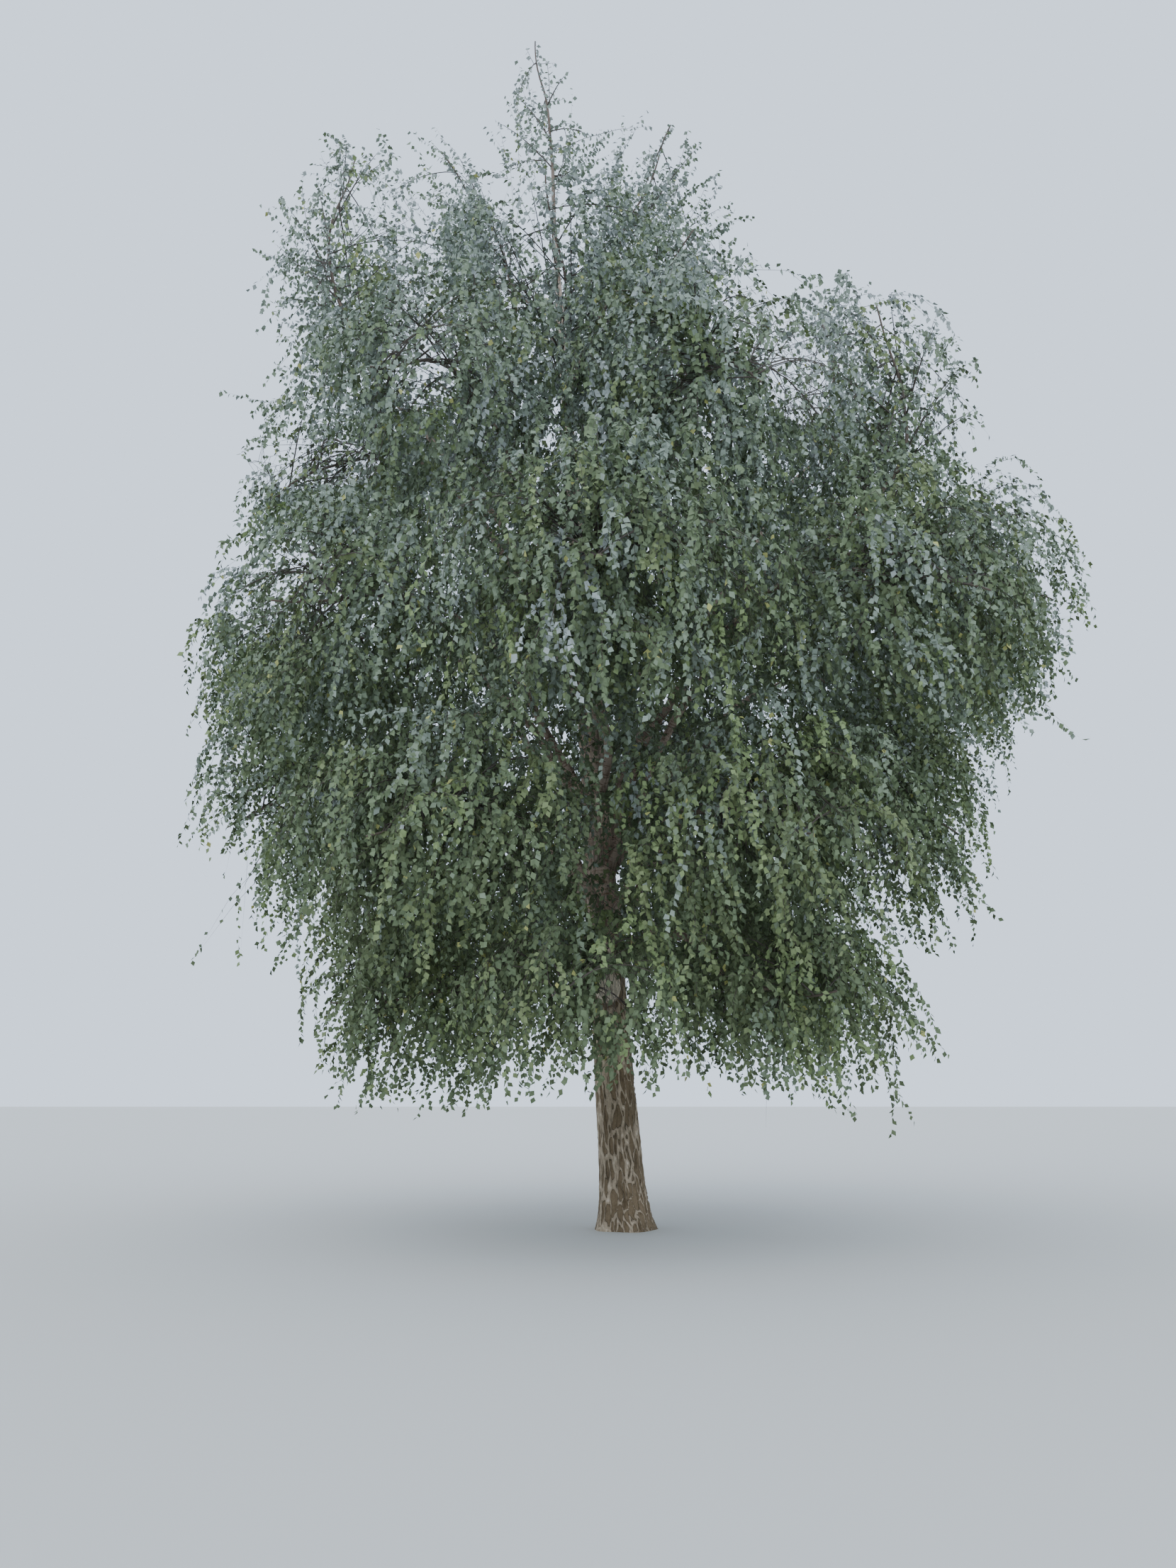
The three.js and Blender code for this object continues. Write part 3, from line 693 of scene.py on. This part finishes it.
def add_limb(space, material):
    shape, grain, relief = cylinder_shape(LIMB_SIDES, LIMB_STEPS)
    tangents = unit(np.gradient(space.limb, axis=0))
    side = unit(np.cross(tangents[0], ASKEW))
    sides = []
    for tangent in tangents:
        side = unit(side - tangent * (side @ tangent))
        sides.append(side)
    collar_swell = 0.0 if space.foot == TRUNK_TOP else COLLAR_SWELL
    for vertex in shape.verts:
        step = round((vertex.co.z + 0.5) * LIMB_STEPS)
        angle = math.atan2(vertex.co.y, vertex.co.x)
        length = space.lengths[step]
        rough = wobble((math.cos(angle), math.sin(angle), length), LIMB_GRAIN, seed=space.seed % 89)
        collar = collar_swell * math.exp(-length / COLLAR_LENGTH)
        radius = space.radii[step] * (1 + LIMB_ROUGHNESS * rough + collar)
        across = np.cross(tangents[step], sides[step])
        vertex[grain] = (math.cos(angle) * radius, math.sin(angle) * radius, length)
        vertex[relief] = LIMB_RELIEF + LIMB_RELIEF_SPREAD * rough
        vertex.co = space.limb[step] + (sides[step] * math.cos(angle) + across * math.sin(angle)) * radius
    limb = wooden_piece(shape, "limb_" + space.name, material)
    node = "foliage_" + space.name if space.on_trunk else "bough_" + space.name
    declare(limb, "bough_bark", node)


# Shoots: many curves at once, each with a foot, a bend and an end, and the colour of its spray
class Shoots:
    FIELDS = ("foot", "bend", "end", "foot_radius", "tip_radius", "colour")

    def __init__(self, *columns):
        for field, column in zip(self.FIELDS, columns):
            setattr(self, field, column)

    def columns(self):
        return [getattr(self, field) for field in self.FIELDS]

    def kept(self, keep):
        return Shoots(*(column[keep] for column in self.columns()))

    def parts(self, shares):
        """The shares along each curve and its three points, in shapes that go together."""
        t = np.broadcast_to(shares, (len(self.foot), np.shape(shares)[-1]))[..., None]
        return t, self.foot[:, None], self.bend[:, None], self.end[:, None]

    def points(self, shares):
        """Places along each shoot: shares (m,) or (n, m) gives (n, m, 3)."""
        t, first, second, third = self.parts(shares)
        return first * (1 - t) ** 2 + second * 2 * t * (1 - t) + third * t**2

    def tangents(self, shares):
        t, first, second, third = self.parts(shares)
        return unit((second - first) * (1 - t) + (third - second) * t)

    def lengths(self):
        return np.linalg.norm(self.bend - self.foot, axis=1) + np.linalg.norm(self.end - self.bend, axis=1)


def joined(groups):
    return Shoots(*(np.concatenate(columns) for columns in zip(*(group.columns() for group in groups))))


def main_twigs(space):
    """The twigs of the solids, and more between them."""
    rows = []
    for index in range(space.count(TWIGS_PER_CUBIC_METRE)):
        draw = seeded(space.seed + index * TWIG_SEED)
        along = within(TWIG_FOOTS, (index + 1) * 2 * GOLDEN_SHARE % 1)
        step = GOLDEN_SHARE if index < SOLID_TWIGS else EVEN_STEPS[0]
        rise = math.radians(within(space.habit["rise"], (index + 1) * step % 1))
        turn = index * GOLDEN_ANGLE + (draw() - 0.5) * TWIG_WANDER
        level = space.axes[0] * math.cos(turn) + space.axes[1] * math.sin(turn)
        direction = level * math.cos(rise) + UP * math.sin(rise)
        foot, radius = stem_point(space, along)
        end = space.middle + direction * TWIG_REACH * space.reach_along(direction)
        bend = (foot + end) / 2 + UP * 2 * space.habit["twig_arch"] * np.linalg.norm(end - foot)
        rows.append((foot, bend, end, TWIG_FOOT_SHARE * min(radius, TWIG_FOOT_RADIUS), TWIG_TIP_RADIUS))
    foot, bend, end, foot_radius, tip_radius = (np.array(column) for column in zip(*rows))
    return Shoots(foot, bend, end, foot_radius, tip_radius, spray_colours(end, space.random))


def places_through(space, per_cubic_metre, levels, reach):
    """Places spread evenly all through the space, up to its walls."""
    order = np.arange(space.count(per_cubic_metre))
    turn, level, share = (order * step % 1 for step in EVEN_STEPS)
    turn = turn * 2 * math.pi
    level = within(levels, level)
    share = within((INNERMOST, 1), share) ** (1 / 3) * reach
    ring = np.sqrt(1 - level**2)
    ways = np.stack([np.cos(turn) * ring, np.sin(turn) * ring, level], axis=1)
    places = space.middle + (ways * share[:, None] * space.sizes) @ space.axes
    return places[space.inside_walls(places)]


# Side shoots: how they leave their parents, and how much longer or shorter than wanted they may be
SIDE_HABITS = {
    True: {"from": 0.12, "pull": 0.0, "arch": 0.14, "lengths": (0.4, 1.1), "levels": (-0.7, 0.97)},
    False: {"from": 0.12, "pull": 0.3, "arch": 0.04, "lengths": (0.4, 1.1), "levels": (-0.9, 0.97)},
}
SIDE_TIP_RADIUS = 0.0018
SIDE_FOOT_SHARE, LEAST_TAPER = 0.6, 1.3
SIDE_FOLLOW = 0.2
LENGTH_SLACK = (0.4, 1.6)


def grow_towards(parents, targets, habit, random):
    """One shoot to each place, from a foot on the parents that gives it its length and heading."""
    along = np.linspace(habit["from"], 1, PARENT_PLACES)
    feet = parents.points(along).reshape(-1, 3)
    tangents = parents.tangents(along).reshape(-1, 3)
    radii = (parents.foot_radius[:, None] * (1 - along) + parents.tip_radius[:, None] * along).ravel()
    heading = unit(tangents + UP * habit["pull"])
    between = targets[:, None] - feet[None]
    distance = np.linalg.norm(between, axis=2)
    turned = np.einsum("tfi,fi->tf", between, heading) / np.maximum(distance, 1e-6)
    order = np.arange(len(targets))
    wanted = within(habit["lengths"], random.random(len(targets)))[:, None]
    best = np.argmin(np.abs(distance - wanted) + distance * (1 - turned), axis=1)
    length = distance[order, best]
    foot, step = feet[best], length[:, None]
    bend = (foot + targets) / 2 + tangents[best] * step * SIDE_FOLLOW + UP * step * habit["arch"]
    radius = np.maximum(radii[best] * SIDE_FOOT_SHARE, SIDE_TIP_RADIUS * LEAST_TAPER)
    tips = np.full(len(targets), SIDE_TIP_RADIUS)
    shoots = Shoots(foot, bend, targets, radius, tips, spray_colours(targets, random))
    shortest, longest = (limit * slack for limit, slack in zip(habit["lengths"], LENGTH_SLACK))
    return shoots.kept((length > shortest) & (length < longest))


# Shoots on the outer part of each bough before it enters its mass, or on the first half of a limb
# that starts on the trunk with its mass
BOUGH_SHOOT_START = 0.28
BOUGH_SHOOT_SPACING = 0.08
BOUGH_SHOOT_LENGTHS = (0.5, 1.5)
BOUGH_SHOOT_RISES = (-0.3, 0.8)
BOUGH_SHOOT_ARCH = 0.15
BOUGH_SHOOT_RADIUS = 0.006
LEAFY_SHARES = (0.3, 0.65, 1)


def bough_shoots(space):
    length = space.lengths[space.stem_start] if space.stem_start else 0.5 * space.lengths[-1]
    count = int(length * (1 - BOUGH_SHOOT_START) / BOUGH_SHOOT_SPACING)
    order = np.arange(count)
    wanted = within((BOUGH_SHOOT_START * length, length), (order + 0.5) / max(count, 1))
    foot = np.stack([np.interp(wanted, space.lengths, space.limb[:, axis]) for axis in range(3)], axis=1)
    turn = order * GOLDEN_ANGLE
    level = np.outer(np.cos(turn), space.axes[0]) + np.outer(np.sin(turn), space.axes[1])
    way = unit(level + UP * within(BOUGH_SHOOT_RISES, order * EVEN_STEPS[0] % 1)[:, None])
    reach = within(BOUGH_SHOOT_LENGTHS, space.random.random(count))[:, None]
    end = foot + way * reach
    bend = (foot + end) / 2 + UP * BOUGH_SHOOT_ARCH * reach
    radii = np.full(count, BOUGH_SHOOT_RADIUS), np.full(count, SIDE_TIP_RADIUS)
    return Shoots(foot, bend, end, *radii, spray_colours(end, space.random))


def leafy_end(space):
    """The stem's own end, as one shoot that leaves can grow on."""
    foot, middle, end = (stem_point(space, share)[0][None] for share in LEAFY_SHARES)
    bend = 2 * middle - (foot + end) / 2
    radius = np.full(1, STEM_TIP_RADIUS)
    return Shoots(foot, bend, end, radius, radius, spray_colours(end, space.random))


# Where the foliage is thinner or thicker as seen from the camera, as where one sees through to the
# sky or a stem. Each has its middle and half sizes in the upright plane through the trunk, and what
# the usual share of foliage is multiplied by
THICKNESS = [
    ("before_the_trunk", -0.1, 2.0, 0.4, 0.4, 1.6),
    ("beside_the_trunk", 0.55, 2.35, 0.6, 0.5, 4),
    ("below_the_skirt", 0.3, 0.95, 2.5, 0.5, 0.1),
    ("left_of_the_fork", -0.55, 3.9, 0.35, 0.6, 2),
    ("right_of_the_fork", 0.17, 3.8, 0.27, 0.5, 2),
    ("scar", -0.12, 2.6, 0.19, 0.25, 0.04),
    ("before_the_stem", 0.3, 6.25, 2.2, 0.7, 2),
    ("pale_stem", -0.12, 4.0, 0.11, 0.5, 0.35),
    ("sky_by_the_stem", 0.55, 5.85, 0.12, 0.4, 0.6),
    ("before_the_upper_stem", 0.1, 9.1, 0.7, 1.5, 1.8),
    ("above_the_fork", 1.2, 8.75, 1.1, 0.45, 1.8),
    ("sky_low_right", 2.98, 3.92, 0.4, 0.7, 0.65),
    ("sky_low_left", -1.43, 3.31, 0.4, 0.9, 0.75),
    ("low_left_edge", -4.8, 3.7, 0.45, 0.6, 0.2),
    ("left_tip", -4.6, 5.5, 0.75, 0.75, 2.8),
    ("below_the_left_tip", -4.25, 4.7, 0.3, 0.35, 0.65),
    ("left_edge", -4.2, 7.5, 0.7, 0.65, 0.52),
    ("left_gap", -4.0, 8.6, 0.75, 0.35, 2),
    ("left_hollow", -4.0, 9.4, 0.9, 0.38, 0.22),
    ("left_side", -4.1, 10.25, 0.5, 0.45, 0.85),
    ("right_edge", 4.6, 6.1, 0.8, 0.7, 6),
    ("above_the_right_arm", 4.55, 10.0, 0.5, 0.55, 0.45),
    ("top_of_the_right_arm", 5.0, 8.9, 0.4, 0.5, 0.6),
    ("right_slope", 1.9, 11.9, 0.5, 1.1, 0.6),
    ("notch", 2.4, 10.65, 0.42, 0.7, 0.3),
    ("foot_of_the_plume", 3.35, 10.9, 0.5, 1.1, 0.72),
    ("beside_the_plume", 3.95, 10.6, 0.35, 1.2, 0.62),
    ("below_the_leader", 0.5, 12.1, 0.85, 0.7, 2.1),
    ("right_of_the_leader", 0.35, 13.5, 0.6, 0.8, 2.8),
    ("leader", -0.15, 14.1, 0.3, 0.7, 3),
    ("left_of_the_leader", -1.35, 12.7, 0.42, 1, 0.5),
    ("left_notch", -2.8, 12.7, 0.3, 1.1, 0.6),
    ("left_plume", -3.6, 13.2, 0.45, 0.5, 0.6),
    ("middle_plume", -2.15, 12.9, 0.35, 0.9, 2.8),
    ("below_the_notch", -2.6, 10.9, 0.5, 0.75, 0.45),
]


def thickness_at(places):
    t = -EYE[1] / (places[:, 1] - EYE[1])
    seen = EYE + (places - EYE) * t[:, None]
    left = np.ones(len(places))
    for _, across, height, half_width, half_height, share in THICKNESS:
        away = ((seen[:, 0] - across) / half_width) ** 2 + ((seen[:, 2] - height) / half_height) ** 2
        left[away < 1] = share
    return left


# Which shoots are kept: fewer above the crown's lowest masses, towards its top and at the outer edge
# of each mass
EVEN_SHARE = 0.77
AIRY_HEIGHTS, AIRY_SHARE = (9.8, 13.4), 0.27
FULL_HEIGHTS, FULL_SHARE = (2.5, 4.5), 0.72
EDGE_DEPTHS, EDGE_SHARE = (0.68, 1.1), 0.35
OUTER_REACHES = (0.2, 1)
RISING_EDGE = 0.4


def kept_shoots(space, shoots, power, random):
    places = shoots.end
    airy = share_between(places[:, 2], *AIRY_HEIGHTS)
    full = share_between(places[:, 2], *FULL_HEIGHTS)
    outside = space.outward if space.weeping else unit(space.outward + UP * RISING_EDGE)
    outer = share_between((places - space.middle) @ outside, *OUTER_REACHES)
    edge = share_between(space.depth_of(places), *EDGE_DEPTHS) * outer
    left = within((1, AIRY_SHARE), airy) * within((1, FULL_SHARE), full) * within((1, EDGE_SHARE), edge)
    keep = random.random(len(places)) < (EVEN_SHARE * left * thickness_at(places)) ** power
    return shoots.kept(keep & in_box(places))


def in_box(places):
    """Which places are in the box of the solids, or just outside it."""
    return np.all((places > CAD_LOW - BOX_MARGIN) & (places < CAD_HIGH + BOX_MARGIN), axis=-1)


# Twiglets: the ways they take, how they leave their parents, how many there are to a cubic metre
# and to a metre of shoot, and how long. At the back, where the masses are fewer, they hang further
WEEPING_TOP, RISING_FOOT = 10.2, 12.6
RISING_OUT, DROOPING_OUT = 0.6, (0, 0.65)
HEIGHT_VARIETY, WAY_VARIETY = 0.6, 0.19
TWIGLET_FEET, CURTAIN_FEET = (0.15, 1), (0.2, 1)
TWIGLET_TIP_RADIUS = 0.0012
TWIGLET_TAPER = 2.4
ASIDE_COST, SHORT_FAVOUR = 1.8, 1.5
STRAIGHT_SHARE, ASIDE_ARCH = 0.8, 0.15
LEAST_FORWARD, ASIDE_LIMITS = 0.12, (0.2, 0.8)
EVEN_ONWARDS = 0.15
CURTAIN_SIDEWAYS, CURTAIN_FOLLOW, CURTAIN_SPREAD = 0.25, 0.3, 0.2
CURTAIN_LENGTH, CURTAIN_SHORTENING = 1.15, 0.55
SHORT_TWIGLETS = {"even": 36, "curtains": 2.8, "lengths": (0.3, 1.3)}
LONG_TWIGLETS = {"even": 22, "curtains": 2, "lengths": (0.4, 2.1)}


def ways_at(places, random):
    """The way twiglets grow: drooping outwards low in the crown, up and out at its top."""
    count = len(places)
    out = unit(places * [1, 1, 0] + np.outer(places[:, 2], [-TRUNK_LEAN, 0, 0]))
    rising = unit(out * RISING_OUT + UP)
    drooping = unit(out * within(DROOPING_OUT, random.random(count))[:, None] - UP)
    heights = places[:, 2] + random.normal(0, HEIGHT_VARIETY, count)
    share = share_between(heights, WEEPING_TOP, RISING_FOOT)[:, None]
    return unit(rising * share + drooping * (1 - share) + random.normal(0, WAY_VARIETY, places.shape))


def grow_along(parents, targets, ways, lengths, random):
    """One twiglet to each place, that leaves its parent sideways and turns into its way."""
    along = np.linspace(*TWIGLET_FEET, PARENT_PLACES)
    feet = parents.points(along).reshape(-1, 3)
    between = targets[:, None] - feet[None]
    forward = np.einsum("tfi,ti->tf", between, ways)
    aside = np.sqrt(np.maximum(0, np.sum(between**2, axis=2) - forward**2))
    wanted = within(lengths, random.random(len(targets)) ** SHORT_FAVOUR)[:, None]
    best = np.argmin(aside * ASIDE_COST + np.abs(forward - wanted), axis=1)
    order = np.arange(len(targets))
    foot, forward, aside = feet[best], forward[order, best][:, None], aside[order, best]
    bend = targets - ways * forward * STRAIGHT_SHARE + UP * ASIDE_ARCH * aside[:, None]
    tips = np.full(len(targets), TWIGLET_TIP_RADIUS)
    shoots = Shoots(foot, bend, targets, tips * TWIGLET_TAPER, tips, parents.colour[best // len(along)])
    widest = ASIDE_LIMITS[0] + ASIDE_LIMITS[1] * forward[:, 0]
    return shoots.kept((forward[:, 0] > LEAST_FORWARD) & (aside < widest))


def grow_curtains(parents, per_metre, lengths, random):
    """Twiglets that hang in a row from each parent, shorter towards its tip."""
    counts = np.maximum(1, np.round(parents.lengths() * per_metre)).astype(int)
    owner = np.repeat(np.arange(len(counts)), counts)
    share = within(CURTAIN_FEET, random.random(len(owner)))
    of_owner = parents.kept(owner)
    foot = of_owner.points(share[:, None])[:, 0]
    tangent = of_owner.tangents(share[:, None])[:, 0]
    ways = ways_at(foot, random)
    shorter = CURTAIN_LENGTH - CURTAIN_SHORTENING * share
    length = (within(lengths, random.random(len(owner))) * shorter)[:, None]
    side = unit(np.cross(tangent, UP)) * random.normal(0, CURTAIN_SIDEWAYS, len(owner))[:, None]
    bend = foot + (tangent * CURTAIN_FOLLOW + side) * length
    end = foot + ways * length + side * CURTAIN_SPREAD
    tips = np.full(len(owner), TWIGLET_TIP_RADIUS)
    return Shoots(foot, bend, end, tips * TWIGLET_TAPER, tips, of_owner.colour)


# Sides and steps of the tubes, from the thickest twigs to the finest
TUBE_SIDES_AND_STEPS = [(4, 6), (3, 3), (3, 2)]


def tubes(shoots, sides, steps):
    """Closed tapering tubes along shoots: a capped foot, rings, and a pointed tip."""
    count = len(shoots.foot)
    shares = np.linspace(0, 1, steps + 1)
    points, tangents = shoots.points(shares), shoots.tangents(shares)
    plane = np.cross(shoots.bend - shoots.foot, shoots.end - shoots.bend) + 1e-6
    over = unit(plane)[:, None]
    side = unit(np.cross(over, tangents))
    radii = shoots.foot_radius[:, None] * (1 - shares) + shoots.tip_radius[:, None] * shares
    angles = np.arange(sides) * 2 * math.pi / sides
    spread = (
        side[:, :, None] * np.cos(angles)[:, None] + over[:, :, None] * np.sin(angles)[:, None]
    ) * radii[:, :, None, None]
    rings = (points[:, :, None] + spread)[:, :-1].reshape(count, -1, 3)
    places = np.concatenate([rings, points[:, -1:]], axis=1)
    faces = []
    for step in range(steps - 1):
        for number in range(sides):
            a, b = step * sides + number, step * sides + (number + 1) % sides
            faces += [(a, b, b + sides), (a, b + sides, a + sides)]
    last, tip = (steps - 1) * sides, steps * sides
    faces += [(last + number, last + (number + 1) % sides, tip) for number in range(sides)]
    faces += [(0, number + 1, number) for number in range(1, sides - 1)]
    faces = np.array(faces)[None] + (np.arange(count) * places.shape[1])[:, None, None]
    return places.reshape(-1, 3), faces.reshape(-1, 3)


# Leaves: two halves folded along the midrib
LEAF_OUTLINE = np.array([(0, 0, 0), (0.42, 0.38, 0.1), (1, 0, 0), (0.42, -0.38, 0.1)])
LEAF_HALVES = np.array([(0, 2, 1), (0, 3, 2)])
LEAF_LENGTHS = (0.052, 0.08)
LEAF_SPACING = 0.037
INNER_LEAF_SPACING = 0.052
LEAF_HANG = (0.3, 1.3)
LEAF_FORWARD, LEAF_SIDEWAYS = 0.4, 0.9
LEAF_UPTURN, LEAF_VARIETY = 0.25, 0.65

# Colours of leaves, and how often a spray has each at the foot, the middle and the top of the crown.
# Towards the top the sprays turn greyer and paler: painted sky light and haze. Towards the foot
# they are darker and greener
LEAF_COLOURS = [
    ("leaf_deep", (0.142, 0.176, 0.089), (0.38, 0.07, 0)),
    ("leaf_green", (0.178, 0.226, 0.124), (0.39, 0.22, 0.03)),
    ("leaf_sage", (0.225, 0.276, 0.184), (0.04, 0.35, 0.22)),
    ("leaf_grey", (0.285, 0.335, 0.27), (0, 0.25, 0.42)),
    # Pale grey, dealt out mostly at the top: painted sky light and haze
    ("leaf_sky_lit_pale", (0.385, 0.425, 0.4), (0, 0.04, 0.39)),
    ("leaf_olive", (0.21, 0.255, 0.118), (0.13, 0.06, 0.02)),
    ("leaf_fresh", (0.245, 0.314, 0.138), (0.07, 0.04, 0)),
    ("leaf_yellow", (0.48, 0.48, 0.17), (0, 0, 0)),
]
COLOUR_AND_SKY_LIGHT_LEVELS = (2.8, 7.3, 12.5)
ODD_LEAF_SHARE = 0.16
YELLOW_LEAF_SHARE = 0.006


def spray_colours(places, random):
    # The shares change with height, so the sprays are greyer and paler towards the top: painted sky light and
    # haze
    shares = [np.interp(places[:, 2], COLOUR_AND_SKY_LIGHT_LEVELS, row[2]) for row in LEAF_COLOURS]
    steps = np.cumsum(shares, axis=0)
    return np.sum(random.random(len(places)) * steps[-1] > steps[:-1], axis=0)


def leaf_colours(colour, places, random):
    """The colour of each leaf: mostly its spray's, with odd ones and a few yellow ones."""
    odd = random.random(len(colour)) < ODD_LEAF_SHARE
    colour = np.where(odd, spray_colours(places, random), colour)
    return np.where(random.random(len(colour)) < YELLOW_LEAF_SHARE, len(LEAF_COLOURS) - 1, colour)


def grow_leaves(space, shoots, first, spacing):
    """Leaves all round along shoots from a first share of their length on, facing outwards."""
    random = space.random
    lengths = shoots.lengths() * (1 - first)
    counts = np.maximum(2, np.round(lengths / spacing)).astype(int)
    owner = np.repeat(np.arange(len(counts)), counts)
    order = np.arange(len(owner)) - np.repeat(np.cumsum(counts) - counts, counts)
    share = within((first, 1), (order + random.random(len(owner))) / counts[owner])[:, None]
    of_owner = shoots.kept(owner)
    root = of_owner.points(share)[:, 0]
    tangent = of_owner.tangents(share)[:, 0]
    side = unit(np.cross(tangent, random.normal(0, 1, root.shape)))
    hang = within(LEAF_HANG, random.random(len(owner)))[:, None]
    along = unit(tangent * LEAF_FORWARD + side * LEAF_SIDEWAYS - UP * hang)
    out = unit(root - space.middle)
    face = unit(out + UP * LEAF_UPTURN + random.normal(0, LEAF_VARIETY, root.shape))
    across = unit(np.cross(face, along))
    normal = np.cross(along, across)
    size = within(LEAF_LENGTHS, random.random(len(owner)))[:, None, None]
    shape = (
        along[:, None] * LEAF_OUTLINE[:, :1] + across[:, None] * LEAF_OUTLINE[:, 1:2]
        + normal[:, None] * LEAF_OUTLINE[:, 2:]
    )
    return root[:, None] + shape * size, leaf_colours(of_owner.colour, root, random)


# The shares of the shoots' lengths at which leaves start, and how gently side shoots are thinned
MAIN_LEAVES, SIDE_LEAVES, FINE_LEAVES = 0.3, 0.15, 0.08
SIDE_THINNING = 0.6
TWIGLET_LEVELS = (-0.97, 0.97)


def grow_mass(space):
    """Twigs by their thickness, and the leaves on them."""
    random = space.random
    main = main_twigs(space)
    habit = SIDE_HABITS[space.weeping]
    places = places_through(space, SHOOTS_PER_CUBIC_METRE, habit["levels"], SHOOT_REACH)
    side = joined([grow_towards(main, places, habit, random), bough_shoots(space)])
    side = kept_shoots(space, side, SIDE_THINNING, random)

    twiglets = LONG_TWIGLETS if space.weeping and space.region()[1] == "back" else SHORT_TWIGLETS
    places = places_through(space, twiglets["even"], TWIGLET_LEVELS, 1.0)
    ways = ways_at(places, random)
    parents = joined([main, side])
    even = grow_along(parents, places + ways * EVEN_ONWARDS, ways, twiglets["lengths"], random)
    curtains = grow_curtains(parents, twiglets["curtains"], twiglets["lengths"], random)
    fine = kept_shoots(space, joined([even, curtains]), 1, random)
    leaves = [
        grow_leaves(space, main, MAIN_LEAVES, INNER_LEAF_SPACING),
        grow_leaves(space, side, SIDE_LEAVES, INNER_LEAF_SPACING),
        grow_leaves(space, fine, FINE_LEAVES, LEAF_SPACING),
        grow_leaves(space, leafy_end(space), 0, LEAF_SPACING),
    ]
    places = np.concatenate([group[0] for group in leaves])
    colours = np.concatenate([group[1] for group in leaves])
    kept = in_box(places).all(axis=1) & (random.random(len(places)) < thickness_at(places[:, 0]))
    return main, side, fine, places[kept], colours[kept]


def add_foliage(spaces, twig_material, leaf_materials):
    """The twigs and the leaves of the masses, joined by their level and the side of the trunk."""
    levels = ("crown", "upper", "high", "mid", "low", "skirt")
    for level, side in [(level, side) for level in levels for side in ("front", "back")]:
        members = [space for space in spaces if space.region() == (level, side)]
        region = level + "_" + side
        nodes = ["foliage_" + space.name for space in members]
        grown = [grow_mass(space) for space in members]
        meshes = [
            tubes(joined([mass[order] for mass in grown]), sides, steps)
            for order, (sides, steps) in enumerate(TUBE_SIDES_AND_STEPS)
        ]
        shift = np.cumsum([0] + [len(places) for places, _ in meshes[:-1]])
        places = np.concatenate([places for places, _ in meshes])
        faces = np.concatenate([faces + start for (_, faces), start in zip(meshes, shift)])
        twigs = piece_from_arrays("twigs_" + region, places, faces, np.zeros(len(faces)), [twig_material])
        declare(twigs, "bough_bark", *nodes)

        leaves = np.concatenate([mass[3] for mass in grown])
        colours = np.concatenate([mass[4] for mass in grown])
        first = (np.arange(len(leaves)) * len(LEAF_OUTLINE))[:, None, None]
        faces = (LEAF_HALVES[None] + first).reshape(-1, 3)
        places = leaves.reshape(-1, 3)
        piece = piece_from_arrays("leaves_" + region, places, faces, np.repeat(colours, 2), leaf_materials)
        declare(piece, "leaves", *nodes)


add_camera()
add_stage()
trunk_bark = bark_material("trunk_bark_relief", TRUNK_COLOURS, TRUNK_YOUNG_FOOT)
limb_bark = bark_material("limb_bark_relief", LIMB_COLOURS, LIMB_YOUNG_FOOT)
twig_bark = plain_material("twig_bark", TWIG_BARK, roughness=0.7)
leaf_materials = [
    plain_material(name, colour, roughness=0.6, gloss=0.2) for name, colour, _ in LEAF_COLOURS
]

spaces = [Space(index, row) for index, row in enumerate(MASSES)]
add_walls(spaces)
add_trunk(trunk_bark)
for space in spaces:
    grow_limb(space)
    add_limb(space, limb_bark)
add_foliage(spaces, twig_bark, leaf_materials)
